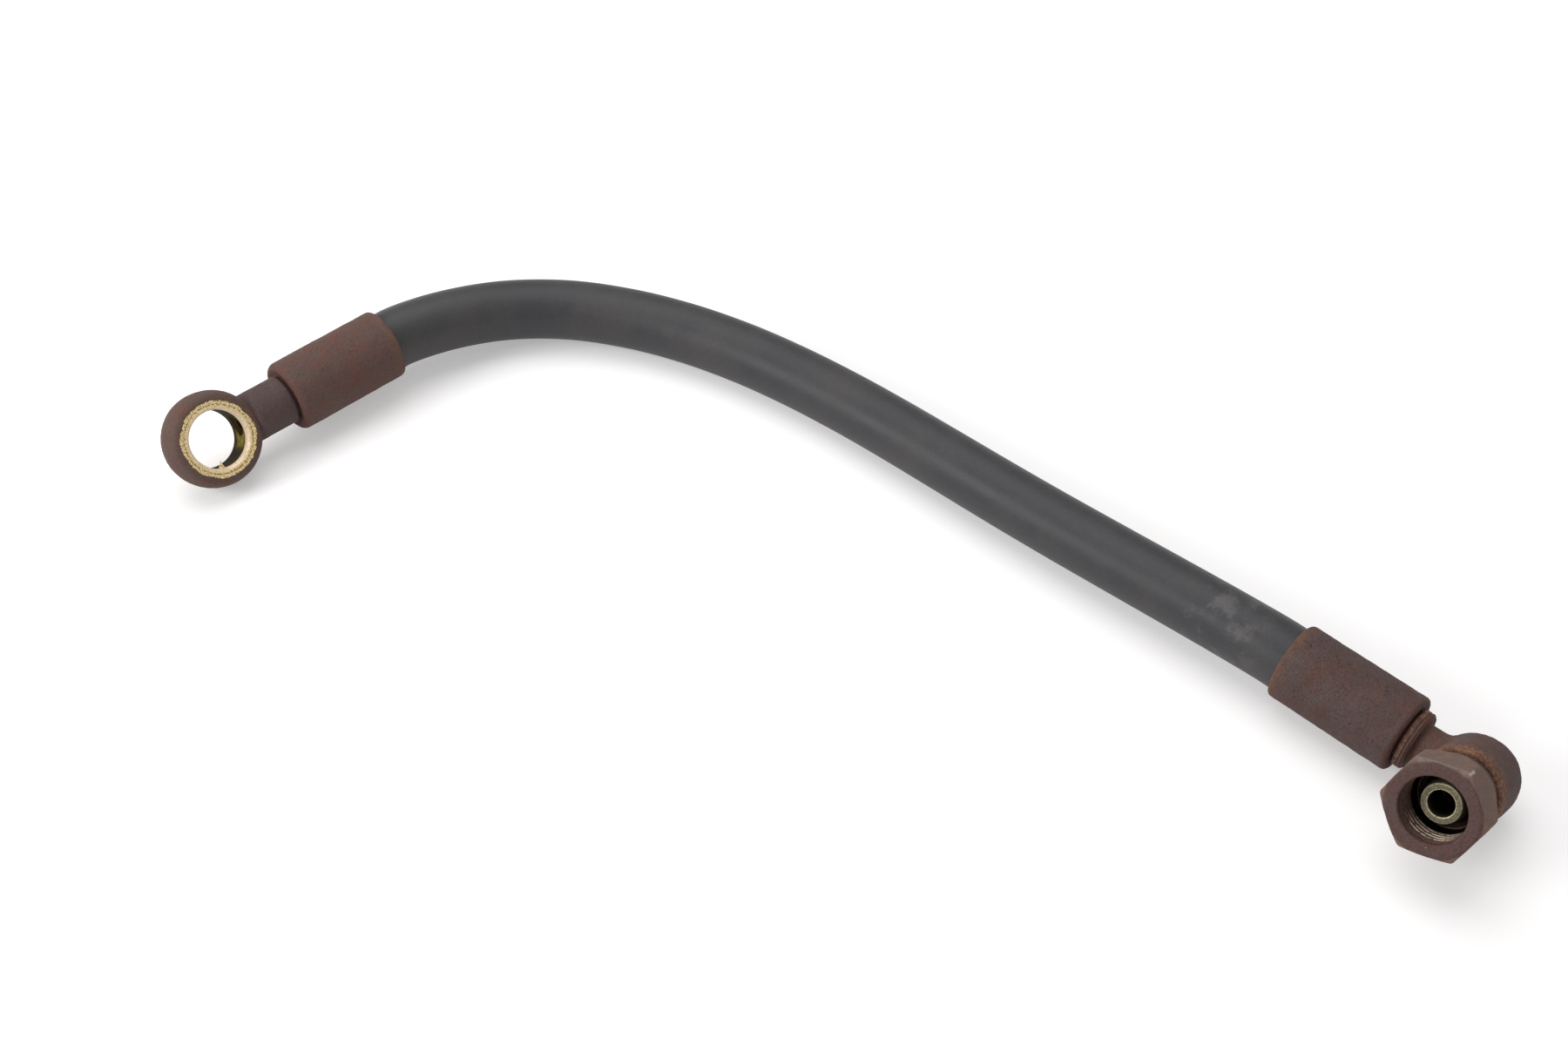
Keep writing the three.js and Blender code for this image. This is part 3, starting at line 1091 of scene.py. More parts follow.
@dataclass(frozen=True)
class RingFinish:
    """Rust outside, gold-coloured machined seats and a dark bore with a bright patch."""

    half: float
    bore: float
    seat: float
    groove: float
    chamfer: float
    clean_mouth: float
    rust: Rust = Rust(
        ground=srgb(98, 79, 72), grey=srgb(100, 85, 80), red=srgb(112, 72, 60), grey_share=0.35,
        red_share=0.4, orange_share=0.12, pits=0.25, mottle=0.34, seed=21.0,
    )
    gold_dull: Colour = srgb(184, 146, 86)
    gold_bright: Colour = srgb(255, 234, 182)
    gold_line: Colour = srgb(104, 82, 42)
    gold_edge: Colour = srgb(120, 94, 52)
    lip: Colour = srgb(246, 224, 196)
    wall_dark: Colour = srgb(52, 42, 23)
    wall_light: Colour = srgb(76, 62, 32)
    # Bright yellow-green patch on one side of the bore wall.
    yellow_patch: Colour = srgb(190, 176, 70)
    yellow_patch_clouds: Patches = Patches(1.0, 0.36, 0.52, 3.0, 0.7, 14.0)
    drilling: Colour = srgb(132, 108, 64)
    drilling_half: float = 3.4
    turning_pitch: float = 0.22
    relief: float = 0.00018
    gloss: float = 0.12

    def material(self, place: Matrix) -> bpy.types.Material:
        """The ring's material.

        Args:
            place: The ring's frame, with its bore along Z.

        Returns:
            The material.
        """
        sheet = NodeSheet("banjo_ring_rust_and_seat", place)
        colour, roughness, height = self.rust.paint(sheet)
        x, y, z = sheet.split(sheet.place)
        radius, depth = sheet.away(x, y), sheet.math("ABSOLUTE", z)
        tone = sheet.noise(2.0, 4.0, 0.75, seed=9.0)
        mouth, rim = self.half - self.clean_mouth, self.half - self.chamfer
        clean = sheet.math("MAXIMUM", sheet.step(z, mouth - 0.3, mouth), sheet.step(depth, rim - 0.25, rim))
        lumps = sheet.scaled(sheet.noise(0.4, 2.0, 0.5, seed=2.0), 1.2, -0.6)
        ragged = sheet.noise(1.1, 3.0, 0.55, seed=3.0)
        ragged = sheet.math("ADD", ragged, sheet.math("ADD", radius, lumps))
        on_seat = sheet.times(sheet.step(ragged, self.seat + 0.66, self.seat + 0.54), clean)
        colour = sheet.blend(on_seat, colour, self._gold(sheet, radius, ragged, tone))
        in_bore = sheet.step(radius, self.bore + 0.3, self.bore + 0.1)
        in_bore = sheet.times(in_bore, sheet.math("SUBTRACT", 1.0, clean))
        wall = sheet.blend(sheet.step(tone, 0.35, 0.7), self.wall_dark, self.wall_light)
        # A bright yellow-green patch on one side of the bore wall, beside the passage.
        yellow_side = sheet.band(sheet.math("ARCTAN2", y, x), 2.4, 2.95, 0.2)
        yellow_side = sheet.times(yellow_side, sheet.band(z, -3.4, 3.0, 1.4))
        wall = sheet.cover(wall, yellow_side, sheet.patches(self.yellow_patch_clouds), self.yellow_patch)
        colour = sheet.blend(in_bore, colour, wall)
        drilled = sheet.step(depth, self.drilling_half + 0.2, self.drilling_half)
        drilled = sheet.times(drilled, sheet.band(radius, self.bore + 0.25, self.bore + 3.0, 0.1))
        colour = sheet.blend(drilled, colour, self.drilling)
        roughness = sheet.lerp(on_seat, sheet.lerp(in_bore, roughness, 0.8), 0.42)
        turned = sheet.scaled(sheet.wave(radius, self.turning_pitch), 0.05, sheet.times(tone, 0.45))
        machined = sheet.math("MAXIMUM", on_seat, in_bore)
        height = sheet.lerp(machined, sheet.math("ADD", height, 0.5), turned)
        return sheet.finish(colour, roughness, height, self.relief, sheet.times(on_seat, 0.2), self.gloss)

    def _gold(self, sheet: NodeSheet, radius: Socket, ragged: Socket, tone: Socket) -> Socket:
        """Colour of the machined seat.

        Args:
            sheet: The ring's nodes.
            radius: Distance from the bore's axis.
            ragged: The same, made uneven.
            tone: Fine noise.

        Returns:
            The colour's socket.
        """
        gold = sheet.blend(sheet.step(tone, 0.39, 0.58), self.gold_dull, self.gold_bright)
        uneven = sheet.scaled(sheet.noise(0.8, 2.0, 0.5, seed=12.0), 0.5, radius)
        line = sheet.band(uneven, self.groove + 0.1, self.groove + 0.42, 0.08)
        line = sheet.times(line, sheet.step(tone, 0.62, 0.42))
        gold = sheet.cover(gold, line, 0.85, self.gold_line)
        edge = sheet.times(sheet.step(ragged, self.seat + 0.2, self.seat + 0.55), sheet.step(tone, 0.56, 0.44))
        gold = sheet.cover(gold, edge, 0.7, self.gold_edge)
        lip = sheet.band(radius, self.bore - 0.1, self.bore + 0.85, 0.12)
        return sheet.cover(gold, lip, sheet.scaled(sheet.step(tone, 0.38, 0.6), 0.5, 0.4), self.lip)


@dataclass(frozen=True)
class NeckFinish:
    """Smooth dark rust with pale dust near the ferrule."""

    ferrule_length: float
    rust: Rust = Rust(
        ground=srgb(89, 73, 71), grey=srgb(95, 83, 83), red=srgb(98, 68, 62), grey_share=0.4,
        red_share=0.3, orange_share=0.06, pits=0.3, mottle=0.3, seed=31.0,
    )
    dust: Colour = srgb(150, 142, 138)
    dust_patches: Patches = Patches(3.2, 0.57, 0.68, 3.0, 0.75, 33.0)
    dust_reach: float = 6.5
    relief: float = 0.00018

    def material(self, place: Matrix) -> bpy.types.Material:
        """The neck's material.

        Args:
            place: The tail's frame, with its axis along X.

        Returns:
            The material.
        """
        sheet = NodeSheet("banjo_neck_rust", place)
        colour, roughness, height = self.rust.paint(sheet)
        along, _, _ = sheet.split(sheet.place)
        near = sheet.step(along, self.ferrule_length + self.dust_reach, self.ferrule_length + 1.0)
        dusty = sheet.times(sheet.patches(self.dust_patches), near)
        colour = sheet.cover(colour, dusty, 0.4, self.dust)
        return sheet.finish(colour, roughness, height, self.relief)


@dataclass
class BanjoEnd:
    """The banjo ring and the tail that carries it."""

    placing: Placing
    ferrule_length: float = 34.0
    reach: float = 24.2
    outside: float = 27.3
    thickness: float = 13.0
    bore: float = 16.4
    chamfer: float = 0.6
    seat: float = 21.2
    groove: float = 19.3
    neck: float = 14.3
    spigot: float = 8.6
    passage: float = 6.4
    clearance: float = 0.3
    socket_wall: float = 1.3
    clean_mouth: float = 2.6
    root: float = 1.1
    pinch: float = 0.24
    slivers: tuple[tuple[float, float, float, float], ...] = (
        (53.0, 1.3, 0.8, -14.0),
        (59.0, 1.7, 0.6, 10.0),
        (64.5, 2.6, 0.5, -6.0),
        (71.0, 2.2, 0.7, 14.0),
    )
    sides: int = 300

    def build(self) -> None:
        """Makes both pieces."""
        self._ring()
        self._tail()

    def _ring(self) -> None:
        """Makes the ring with its seat, its bore and the passage into it."""
        half, outer, bore, rim = self.thickness / 2, self.outside / 2, self.bore / 2, self.chamfer
        groove, seat = self.groove / 2, self.seat / 2
        ease = (outer**2 - half**2 - seat**2) / (2 * (outer - half))
        joined = math.degrees(math.atan2(half - ease, seat))
        bm = bmesh.new()
        Maker.turned(
            bm,
            [
                (bore, -half + rim, 0.3),
                (bore + rim, -half, 0.4),
                *arc(seat, ease - half, ease, ease, -90, -joined, 8),
                *arc(0, 0, outer, outer, -joined, joined, 34)[1:-1],
                *arc(seat, half - ease, ease, ease, joined, 90, 8, step=0.3),
                (groove + 0.2, half, 0.3),
                (groove, half - 0.14, 0.3),
                (groove - 0.2, half, 0.3),
                (bore + rim, half, 0.3),
                (bore, half - rim, 0.5),
            ],
            self.sides,
        )

        def exposed(point: Vector) -> float:
            """Rust lifts the outside and leaves the machined seat alone."""
            return min(max((point.xy.length - seat) / 0.5, 0.0), 1.0)

        Maker.weathered(bm, Weather(swell=0.1, swell_size=5.0, grit=0.04, seed=4.0), exposed)
        self._burr(bm)
        place = self.placing.matrix(self.ferrule_length + self.reach)
        made = Maker.piece(bm, "banjo_ring_eye", place)
        socket = -bore - self.socket_wall
        Maker.cut(
            made,
            [
                Maker.rod("socket_cutter", self.spigot / 2 + self.clearance, -self.outside, socket, place),
                Maker.rod("passage_cutter", self.passage / 2, -self.outside, 0, place),
            ],
        )
        finish = RingFinish(
            half, bore, self.seat / 2, groove, self.chamfer, self.clean_mouth
        ).material(place)
        Maker.settle(made, finish, "banjo_ring", Body.HOSE, Slot.STEEL)

    def _burr(self, bm: bmesh.types.BMesh) -> None:
        """Raises the slivers of torn metal on the bore's near edge.

        Args:
            bm: The ring.
        """
        edge, height = self.bore / 2 + 0.25, self.thickness / 2 - 0.55
        for bearing, tall, wide, lean in self.slivers:
            sliver = bmesh.ops.create_cone(
                bm, cap_ends=True, segments=10, radius1=wide, radius2=0.06, depth=tall
            )["verts"]
            bmesh.ops.translate(bm, verts=sliver, vec=(0, 0, tall / 2))
            bmesh.ops.scale(bm, verts=sliver, vec=(0.45, 1.0, 1.0))
            leaning = Matrix.Rotation(math.radians(lean), 3, "X")
            inwards = Matrix.Rotation(-math.pi / 2, 3, "Y")
            bmesh.ops.rotate(bm, verts=sliver, cent=(0, 0, 0), matrix=leaning)
            bmesh.ops.rotate(bm, verts=sliver, cent=(0, 0, 0), matrix=inwards)
            bmesh.ops.translate(bm, verts=sliver, vec=(edge, 0, height))
            round_bore = Matrix.Rotation(math.radians(bearing), 3, "Z")
            bmesh.ops.rotate(bm, verts=sliver, cent=(0, 0, 0), matrix=round_bore)

    def _tail(self) -> None:
        """Makes the tail: barbs, shoulder, groove, neck and spigot."""
        centre = self.ferrule_length + self.reach
        ring, root = self.outside / 2, self.root
        neck, spigot, bore = self.neck / 2, self.spigot / 2, self.passage / 2
        tip = centre - self.bore / 2 - self.socket_wall - self.clearance
        foot = centre - math.sqrt((ring + root) ** 2 - (neck + root) ** 2)
        met = math.degrees(math.asin((neck + root) / (ring + root)))
        flare = arc(neck + root, foot, root, root, 180, 90 + met, 5, step=0.3)
        sunk = centre - math.sqrt(ring**2 - neck**2)
        bm = bmesh.new()
        Maker.turned(
            bm,
            [
                *TailShape().profile(self.ferrule_length),
                (neck - 0.3, self.ferrule_length + self.clearance, 0.28),
                (neck, self.ferrule_length + self.clearance + 0.4, 0.28),
                *flare,
                (neck - 0.3, sunk + 1.4, 0.3),
                (spigot, sunk + 1.8, 1.0),
                (spigot, tip, 1.0),
                (bore, tip, 6.0),
                (bore, TailShape().tip(), 1.0),
            ],
            180,
        )
        Maker.weathered(
            bm,
            Weather(seed=8.0),
            lambda p: 1.0 if p.z > self.ferrule_length and p.xy.length > neck - 0.3 else 0.0,
        )
        for v in bm.verts:
            pinch = min(max((v.co.z - foot + 1.4) / 2.6, 0.0), 1.0)
            v.co.x *= 1.0 - self.pinch * pinch * pinch * (3 - 2 * pinch)
        bm.transform(NECK_AXIS)
        place = self.placing.matrix()
        made = Maker.piece(bm, "banjo_tail_neck", place)
        finish = NeckFinish(self.ferrule_length).material(place)
        Maker.settle(made, finish, "banjo_hose_tail", Body.HOSE, Slot.STEEL)


@dataclass(frozen=True)
class TailShape:
    """What both hose tails share: barbs, shoulder and crimp groove."""

    outside: float = 8.6
    barb: float = 0.35
    barbs: int = 5
    lead: float = 4.0
    length: float = 25.0
    shoulder: float = 14.2
    shoulder_length: float = 2.2
    groove: float = 12.2
    web: float = 3.8
    clearance: float = 0.3
    ferrule_length: float = 34.0

    def tip(self) -> float:
        """Station of the tail's inner end."""
        return self.ferrule_length - self.web - self.clearance - self.shoulder_length - self.length

    def profile(self, ferrule_length: float) -> Profile:
        """Corners from the inner end to just past the ferrule.

        Args:
            ferrule_length: Length of the sleeve, which the groove passes through.

        Returns:
            The corners.
        """
        root, tip = self.outside / 2 - self.barb, self.tip()
        pitch = (self.length - self.lead) / self.barbs
        corners = [(root, tip, 2.0)]
        for i in range(self.barbs):
            start = tip + i * pitch
            corners += [(self.outside / 2, start + pitch * 0.7, 2.0), (root, start + pitch, 2.0)]
        end = ferrule_length - self.web - self.clearance
        return [
            *corners,
            (root, end - self.shoulder_length, 2.0),
            (self.shoulder / 2, end - self.shoulder_length, 2.0),
            (self.shoulder / 2, end, 2.0),
            (self.groove / 2, end, 2.0),
            (self.groove / 2, ferrule_length + self.clearance, 1.0),
        ]


@dataclass(frozen=True)
class ElbowFinish:
    """Rust with an orange crescent by the nut, and a bare nose with painted shade at its root and in its
    passage.
    """

    front: float
    tip: float
    tip_radius: float
    bore: float
    rust: Rust = Rust(
        ground=srgb(92, 74, 69), grey=srgb(92, 81, 80), grey_share=0.5, red_share=0.5,
        orange_share=0.3, pits=0.45, mottle=0.46, seed=41.0,
    )
    crust_dark: Colour = srgb(96, 66, 54)
    crust_light: Colour = srgb(146, 104, 78)
    crust_patches: Patches = Patches(1.0, 0.42, 0.62, 4.0, 0.75, 6.0)
    crust_start: float = 9.5
    crust_full: float = 14.0
    raggedness: float = 7.0
    nose_radius: float = 7.4
    nose_dark: Colour = srgb(99, 92, 73)
    nose_light: Colour = srgb(142, 133, 108)
    # Painted shade towards the nose's root, deep inside the nut.
    nose_root_shade: Colour = srgb(46, 38, 28)
    nose_edge: Colour = srgb(214, 206, 172)
    # Painted shade: near-black inside the passage.
    passage: Colour = srgb(20, 17, 15)
    relief: float = 0.00022

    def material(self, place: Matrix) -> bpy.types.Material:
        """The elbow's material.

        Args:
            place: The elbow's frame, with its nose along Z.

        Returns:
            The material.
        """
        sheet = NodeSheet("elbow_rust_and_nose", place)
        colour, roughness, height = self.rust.paint(sheet)
        x, y, z = sheet.split(sheet.place)
        radius, tone = sheet.away(x, y), sheet.noise(2.2, 4.0, 0.7, seed=8.0)
        ragged = sheet.scaled(sheet.noise(0.45, 4.0, 0.65, seed=3.0), self.raggedness, z)
        crust = sheet.blend(sheet.patches(self.crust_patches), self.crust_dark, self.crust_light)
        colour = sheet.cover(colour, sheet.step(ragged, self.crust_start, self.crust_full), 0.8, crust)
        # Painted shade: the passage inside the nose is near-black.
        inside = sheet.step(radius, self.bore + 0.05, self.bore - 0.02)
        inside = sheet.times(inside, sheet.step(z, self.tip - 0.3, self.tip - 0.5))
        on_nose = sheet.step(z, self.front + 0.2, self.front + 0.4)
        on_nose = sheet.times(on_nose, sheet.step(radius, self.nose_radius + 0.2, self.nose_radius))
        bare = sheet.blend(inside, self._bare(sheet, radius, z, tone), self.passage)
        colour = sheet.blend(on_nose, colour, bare)
        roughness = sheet.lerp(on_nose, roughness, 0.42)
        height = sheet.lerp(on_nose, height, sheet.times(tone, 0.3))
        metallic = sheet.times(on_nose, sheet.math("SUBTRACT", 1.0, inside), 0.3)
        return sheet.finish(colour, roughness, height, self.relief, metallic)

    def _bare(self, sheet: NodeSheet, radius: Socket, z: Socket, tone: Socket) -> Socket:
        """Colour of the bare nose, with painted shade towards its root.

        Args:
            sheet: The elbow's nodes.
            radius: Distance from the nose's axis.
            z: Height along it.
            tone: Fine noise.

        Returns:
            The colour's socket.
        """
        bare = sheet.blend(sheet.step(tone, 0.36, 0.64), self.nose_dark, self.nose_light)
        # Painted shade: darker towards the nose's root, deep inside the nut.
        bare = sheet.blend(sheet.step(z, self.tip - 1.2, self.tip - 3.6), bare, self.nose_root_shade)
        outer = sheet.band(radius, self.tip_radius - 0.32, self.tip_radius + 0.02, 0.05)
        inner = sheet.band(radius, self.bore, self.bore + 0.24, 0.05)
        edge = sheet.times(sheet.math("MAXIMUM", outer, inner), sheet.step(z, self.tip - 0.5, self.tip - 0.3))
        return sheet.cover(bare, edge, sheet.step(tone, 0.3, 0.55), self.nose_edge)


@dataclass(frozen=True)
class CollarFinish:
    """Orange rust with a flaky band by the ferrule and painted shade in its groove."""

    start: float
    rust: Rust = Rust(
        ground=srgb(98, 72, 63), red=srgb(104, 65, 52), orange=srgb(156, 112, 80), grey_share=0.2,
        red_share=0.5, orange_share=0.35, pits=0.35, seed=51.0,
    )
    flake: Colour = srgb(152, 116, 84)
    flake_patches: Patches = Patches(0.8, 0.44, 0.6, 4.0, 0.7, 55.0)
    flake_width: float = 1.4
    # Painted shade in the groove round the collar.
    groove_shade: Colour = srgb(50, 36, 30)
    groove_shade_start: float = 1.35
    groove_shade_end: float = 1.7
    relief: float = 0.00024

    def material(self, place: Matrix) -> bpy.types.Material:
        """The collar's material.

        Args:
            place: The tail's frame, with its axis along X.

        Returns:
            The material.
        """
        sheet = NodeSheet("elbow_collar_rust", place)
        colour, roughness, height = self.rust.paint(sheet)
        along, _, _ = sheet.split(sheet.place)
        flaky = sheet.band(along, self.start - 0.3, self.start + self.flake_width, 0.2)
        flaky = sheet.times(sheet.patches(self.flake_patches), flaky)
        colour = sheet.cover(colour, flaky, 0.7, self.flake)
        # Painted shade: a dark band along the groove round the collar.
        groove_shade = sheet.band(along, self.start + self.groove_shade_start, self.start + self.groove_shade_end, 0.12)
        colour = sheet.cover(colour, groove_shade, 0.45, self.groove_shade)
        return sheet.finish(colour, roughness, height, self.relief)


@dataclass
class ElbowEnd:
    """The right-angle elbow, its tail and the union nut that turns on it."""

    placing: Placing
    ferrule_length: float = 34.0
    reach: float = 18.1
    outside: float = 21.2
    back: float = 1.8
    dome: float = 6.3
    front: float = 12.6
    socket_depth: float = 4.4
    neck: float = 11.0
    collar: float = 15.8
    collar_length: float = 2.8
    collar_chamfer: float = 0.7
    nose_bore: float = 6.6
    nose_tip: float = 9.9
    nose_length: float = 10.7
    nose_neck: float = 12.8
    nose_neck_length: float = 3.0
    nose_flange: float = 15.6
    nose_flange_length: float = 1.4
    spigot: float = 8.6
    passage: float = 6.4
    clearance: float = 0.3
    root: float = 1.3

    def build(self) -> None:
        """Makes the three pieces."""
        self._body()
        self._tail()
        station = self.ferrule_length + self.reach
        UnionNut(self.placing, station, self.front, self.nose_length, self.nose_neck).build()

    def _body(self) -> None:
        """Makes the elbow's body with its cone nose."""
        outer, tip = self.outside / 2, self.front + self.nose_length
        flange = self.front + self.nose_neck_length
        flange_end = flange + self.nose_flange_length
        base = self.nose_tip / 2 + (tip - flange_end) * math.tan(math.radians(12))
        bore = self.nose_bore / 2
        dome = arc(0, -self.back, outer, self.dome, -90, 0, 40, step=0.28)
        dome[0] = (0.0, dome[0][1], WHOLE)
        bm = bmesh.new()
        Maker.turned(
            bm,
            [
                *dome,
                (outer, self.front - 0.5, 0.2),
                (outer - 0.5, self.front, 0.6),
                (self.nose_neck / 2, self.front, 1.0),
                (self.nose_neck / 2, flange, 1.0),
                (self.nose_flange / 2, flange, 1.0),
                (self.nose_flange / 2, flange_end, 0.8),
                (base, flange_end, 0.4),
                (self.nose_tip / 2, tip - 0.35, 0.12),
                (self.nose_tip / 2 - 0.12, tip - 0.12, 0.1),
                (self.nose_tip / 2 - 0.35, tip, 0.3),
                (bore + 0.25, tip, 0.1),
                (bore + 0.07, tip - 0.07, 0.1),
                (bore, tip - 0.25, 0.8),
                (bore, -bore, 1.0),
                (0.0, -bore, 1.0),
            ],
            240,
        )

        def exposed(point: Vector) -> float:
            """Rust lifts the body and leaves the nose alone."""
            on_outside = point.xy.length + max(-point.z, 0) > bore + 1.5
            return 1.0 if point.z < self.front + 0.05 and on_outside else 0.0

        Maker.weathered(bm, Weather(swell=0.12, swell_size=4.0, grit=0.06, seed=12.0), exposed)
        place = self.placing.matrix(self.ferrule_length + self.reach)
        made = Maker.piece(bm, "elbow_body_and_nose", place)
        socket = -outer + self.socket_depth
        Maker.cut(
            made,
            [
                Maker.rod("socket_cutter", self.spigot / 2 + self.clearance, -self.outside, socket, place),
                Maker.rod("passage_cutter", self.passage / 2, -self.outside, 0, place),
            ],
        )
        finish = ElbowFinish(self.front, tip, self.nose_tip / 2, bore).material(place)
        Maker.settle(made, finish, "elbow_body", Body.HOSE, Slot.STEEL)

    def _tail(self) -> None:
        """Makes the tail: barbs, shoulder, groove, collar, neck and spigot."""
        centre = self.ferrule_length + self.reach
        start = self.ferrule_length + self.clearance
        end = start + self.collar_length
        collar, cut, neck = self.collar / 2, self.collar_chamfer, self.neck / 2
        wall, root = self.outside / 2, self.root
        spigot, bore = self.spigot / 2, self.passage / 2
        tip = centre - self.outside / 2 + self.socket_depth - self.clearance
        bm = bmesh.new()
        Maker.turned(
            bm,
            [
                *TailShape().profile(self.ferrule_length),
                (collar - 0.3, start, 0.3),
                (collar, start + 0.3, 0.28),
                (collar, start + 1.3, 0.15),
                (collar - 0.15, start + 1.5, 0.15),
                (collar, start + 1.75, 0.28),
                (collar, end - cut, 0.28),
                (collar - cut, end, 0.28),
                (neck + 0.5, end, 0.2),
                (neck, end + 0.5, 0.28),
                *arc(neck + root, centre - wall + 0.4 - root, root, root, 180, 100, 6, step=0.4),
                (spigot, centre - wall + 0.7, 1.0),
                (spigot, tip, 1.0),
                (bore, tip, 6.0),
                (bore, TailShape().tip(), 1.0),
            ],
            180,
        )
        for v in bm.verts:
            away = v.co.xy.length
            if away > spigot + 0.05 and v.co.z > end + 1.2:
                side = v.co.y
                hollow = math.sqrt(max(wall**2 - side**2, 0.0))
                share = (v.co.z - end - 1.2) / (centre - wall + 0.4 - end - 1.2)
                v.co.z += share * (wall - 0.4 - hollow)
        Maker.weathered(
            bm,
            Weather(swell=0.1, swell_size=2.5, grit=0.06, seed=16.0),
            lambda p: 1.0 if p.z > start + 0.05 and p.xy.length > spigot + 0.3 else 0.0,
        )
        bm.transform(NECK_AXIS)
        place = self.placing.matrix()
        made = Maker.piece(bm, "elbow_tail_collar", place)
        finish = CollarFinish(start).material(place)
        Maker.settle(made, finish, "elbow_hose_tail", Body.HOSE, Slot.ORANGE)


@dataclass(frozen=True)
class NutFinish:
    """Rust with greyer flats, a corner worn bright with a painted glint at its top, and thread crests worn
    bare with a painted highlight on the lit side.
    """

    face: float
    flat: float
    crest: float
    thread_length: float
    corner: float
    rust: Rust = Rust(
        ground=srgb(91, 70, 66), grey=srgb(94, 78, 77), red=srgb(98, 63, 55), grey_share=0.4,
        red_share=0.4, orange_share=0.12, pits=0.3, mottle=0.44, seed=61.0,
    )
    flat_grey: Colour = srgb(122, 103, 94)
    flat_tan: Colour = srgb(146, 112, 88)
    tan_patches: Patches = Patches(0.5, 0.44, 0.62, 4.0, 0.65, 66.0)
    rim: Colour = srgb(136, 124, 118)
    rim_patches: Patches = Patches(1.1, 0.34, 0.56, 4.0, 0.7, 67.0)
    # Metal worn bright along one corner, made near-white by a painted glint at its top.
    bright: Colour = srgb(196, 188, 180)
    worn_glint_patches: Patches = Patches(3.4, 0.34, 0.62, 4.0, 0.75, 73.0)
    chip: Colour = srgb(170, 152, 134)
    chip_x: float = 2.96
    chip_y: float = -8.6
    thread_dark: Colour = srgb(78, 57, 50)
    thread_light: Colour = srgb(100, 75, 64)
    # Crest colour: worn bare metal, with a painted highlight on the lit side.
    thread_worn_and_lit: Colour = srgb(232, 214, 190)
    # Painted shade deep in the nut, past the thread's inner end.
    thread_deep_shade: Colour = srgb(26, 22, 20)
    relief: float = 0.0002

    def material(self, place: Matrix) -> bpy.types.Material:
        """The nut's material.

        Args:
            place: The nut's frame, with its thread along Z.

        Returns:
            The material.
        """
        sheet = NodeSheet("union_nut_rust_and_thread", place)
        colour, roughness, height = self.rust.paint(sheet)
        x, y, z = sheet.split(sheet.place)
        radius, bearing = sheet.away(x, y), sheet.math("ARCTAN2", y, x)
        face = self.face
        sides = sheet.step(radius, self.flat - 0.6, self.flat - 0.2)
        sides = sheet.times(sheet.step(z, face - 0.25, face - 0.6), sides)
        worn = sheet.cover(self.flat_grey, sheet.patches(self.tan_patches), 0.6, self.flat_tan)
        colour = sheet.cover(colour, sides, 0.65, worn)
        strip = sheet.times(sheet.band(z, face - 1.7, face - 0.3, 0.2), sheet.band(bearing, 1.36, 2.36, 0.06))
        colour = sheet.cover(colour, sheet.times(strip, sheet.patches(self.rim_patches)), 0.6, self.rim)
        # One corner worn bright, with a painted glint at its top.
        colour = sheet.cover(colour, self._worn_corner_glint(sheet, z, bearing), 0.85, self.bright)
        colour = sheet.blend(sheet.spot((self.chip_x, self.chip_y, face), 0.12, 0.1), colour, self.chip)
        tone = sheet.noise(1.2, 4.0, 0.7, seed=5.0)
        # Painted highlight: crests are brightest in this band of bearings, on the lit side; elsewhere only
        # faintly bare where worn.
        lit = sheet.times(sheet.band(bearing, -2.1, -0.75, 0.3), sheet.step(z, face - 3.2, face - 4.4))
        bare = sheet.times(
            sheet.step(radius, self.crest + 0.28, self.crest + 0.06),
            sheet.step(tone, 0.36, 0.52),
            sheet.scaled(lit, 0.9, 0.05),
        )
        thread = sheet.blend(sheet.step(tone, 0.4, 0.6), self.thread_dark, self.thread_light)
        thread = sheet.blend(bare, thread, self.thread_worn_and_lit)
        root = face - self.thread_length
        # Painted shade: near-black past the thread's inner end.
        thread = sheet.blend(sheet.step(z, root + 0.6, root - 0.4), thread, self.thread_deep_shade)
        inside = sheet.step(radius, self.crest + 1.05, self.crest + 0.85)
        inside = sheet.times(inside, sheet.step(z, face - 0.9, face - 2.2))
        colour = sheet.blend(inside, colour, thread)
        roughness = sheet.lerp(inside, roughness, 0.42)
        height = sheet.lerp(inside, height, sheet.times(tone, 0.3))
        return sheet.finish(colour, roughness, height, self.relief, sheet.times(inside, bare, 0.3))

    def _worn_corner_glint(self, sheet: NodeSheet, z: Socket, bearing: Socket) -> Socket:
        """Mask of the metal worn bright along one corner, with a painted glint at the corner's top.

        Args:
            sheet: The nut's nodes.
            z: Height along the thread's axis.
            bearing: Angle round it.

        Returns:
            The mask's socket.
        """
        line = sheet.band(z, self.face - 3.6, self.face - 1.1, 0.3)
        line = sheet.times(line, sheet.band(bearing, self.corner - 0.035, self.corner + 0.025, 0.015))
        reach = self.flat / math.cos(math.pi / 6) - 0.4
        top = (reach * math.cos(self.corner), reach * math.sin(self.corner), self.face - 0.9)
        worn = sheet.math("MAXIMUM", line, sheet.spot(top, 0.35, 0.35))
        return sheet.times(worn, sheet.patches(self.worn_glint_patches))


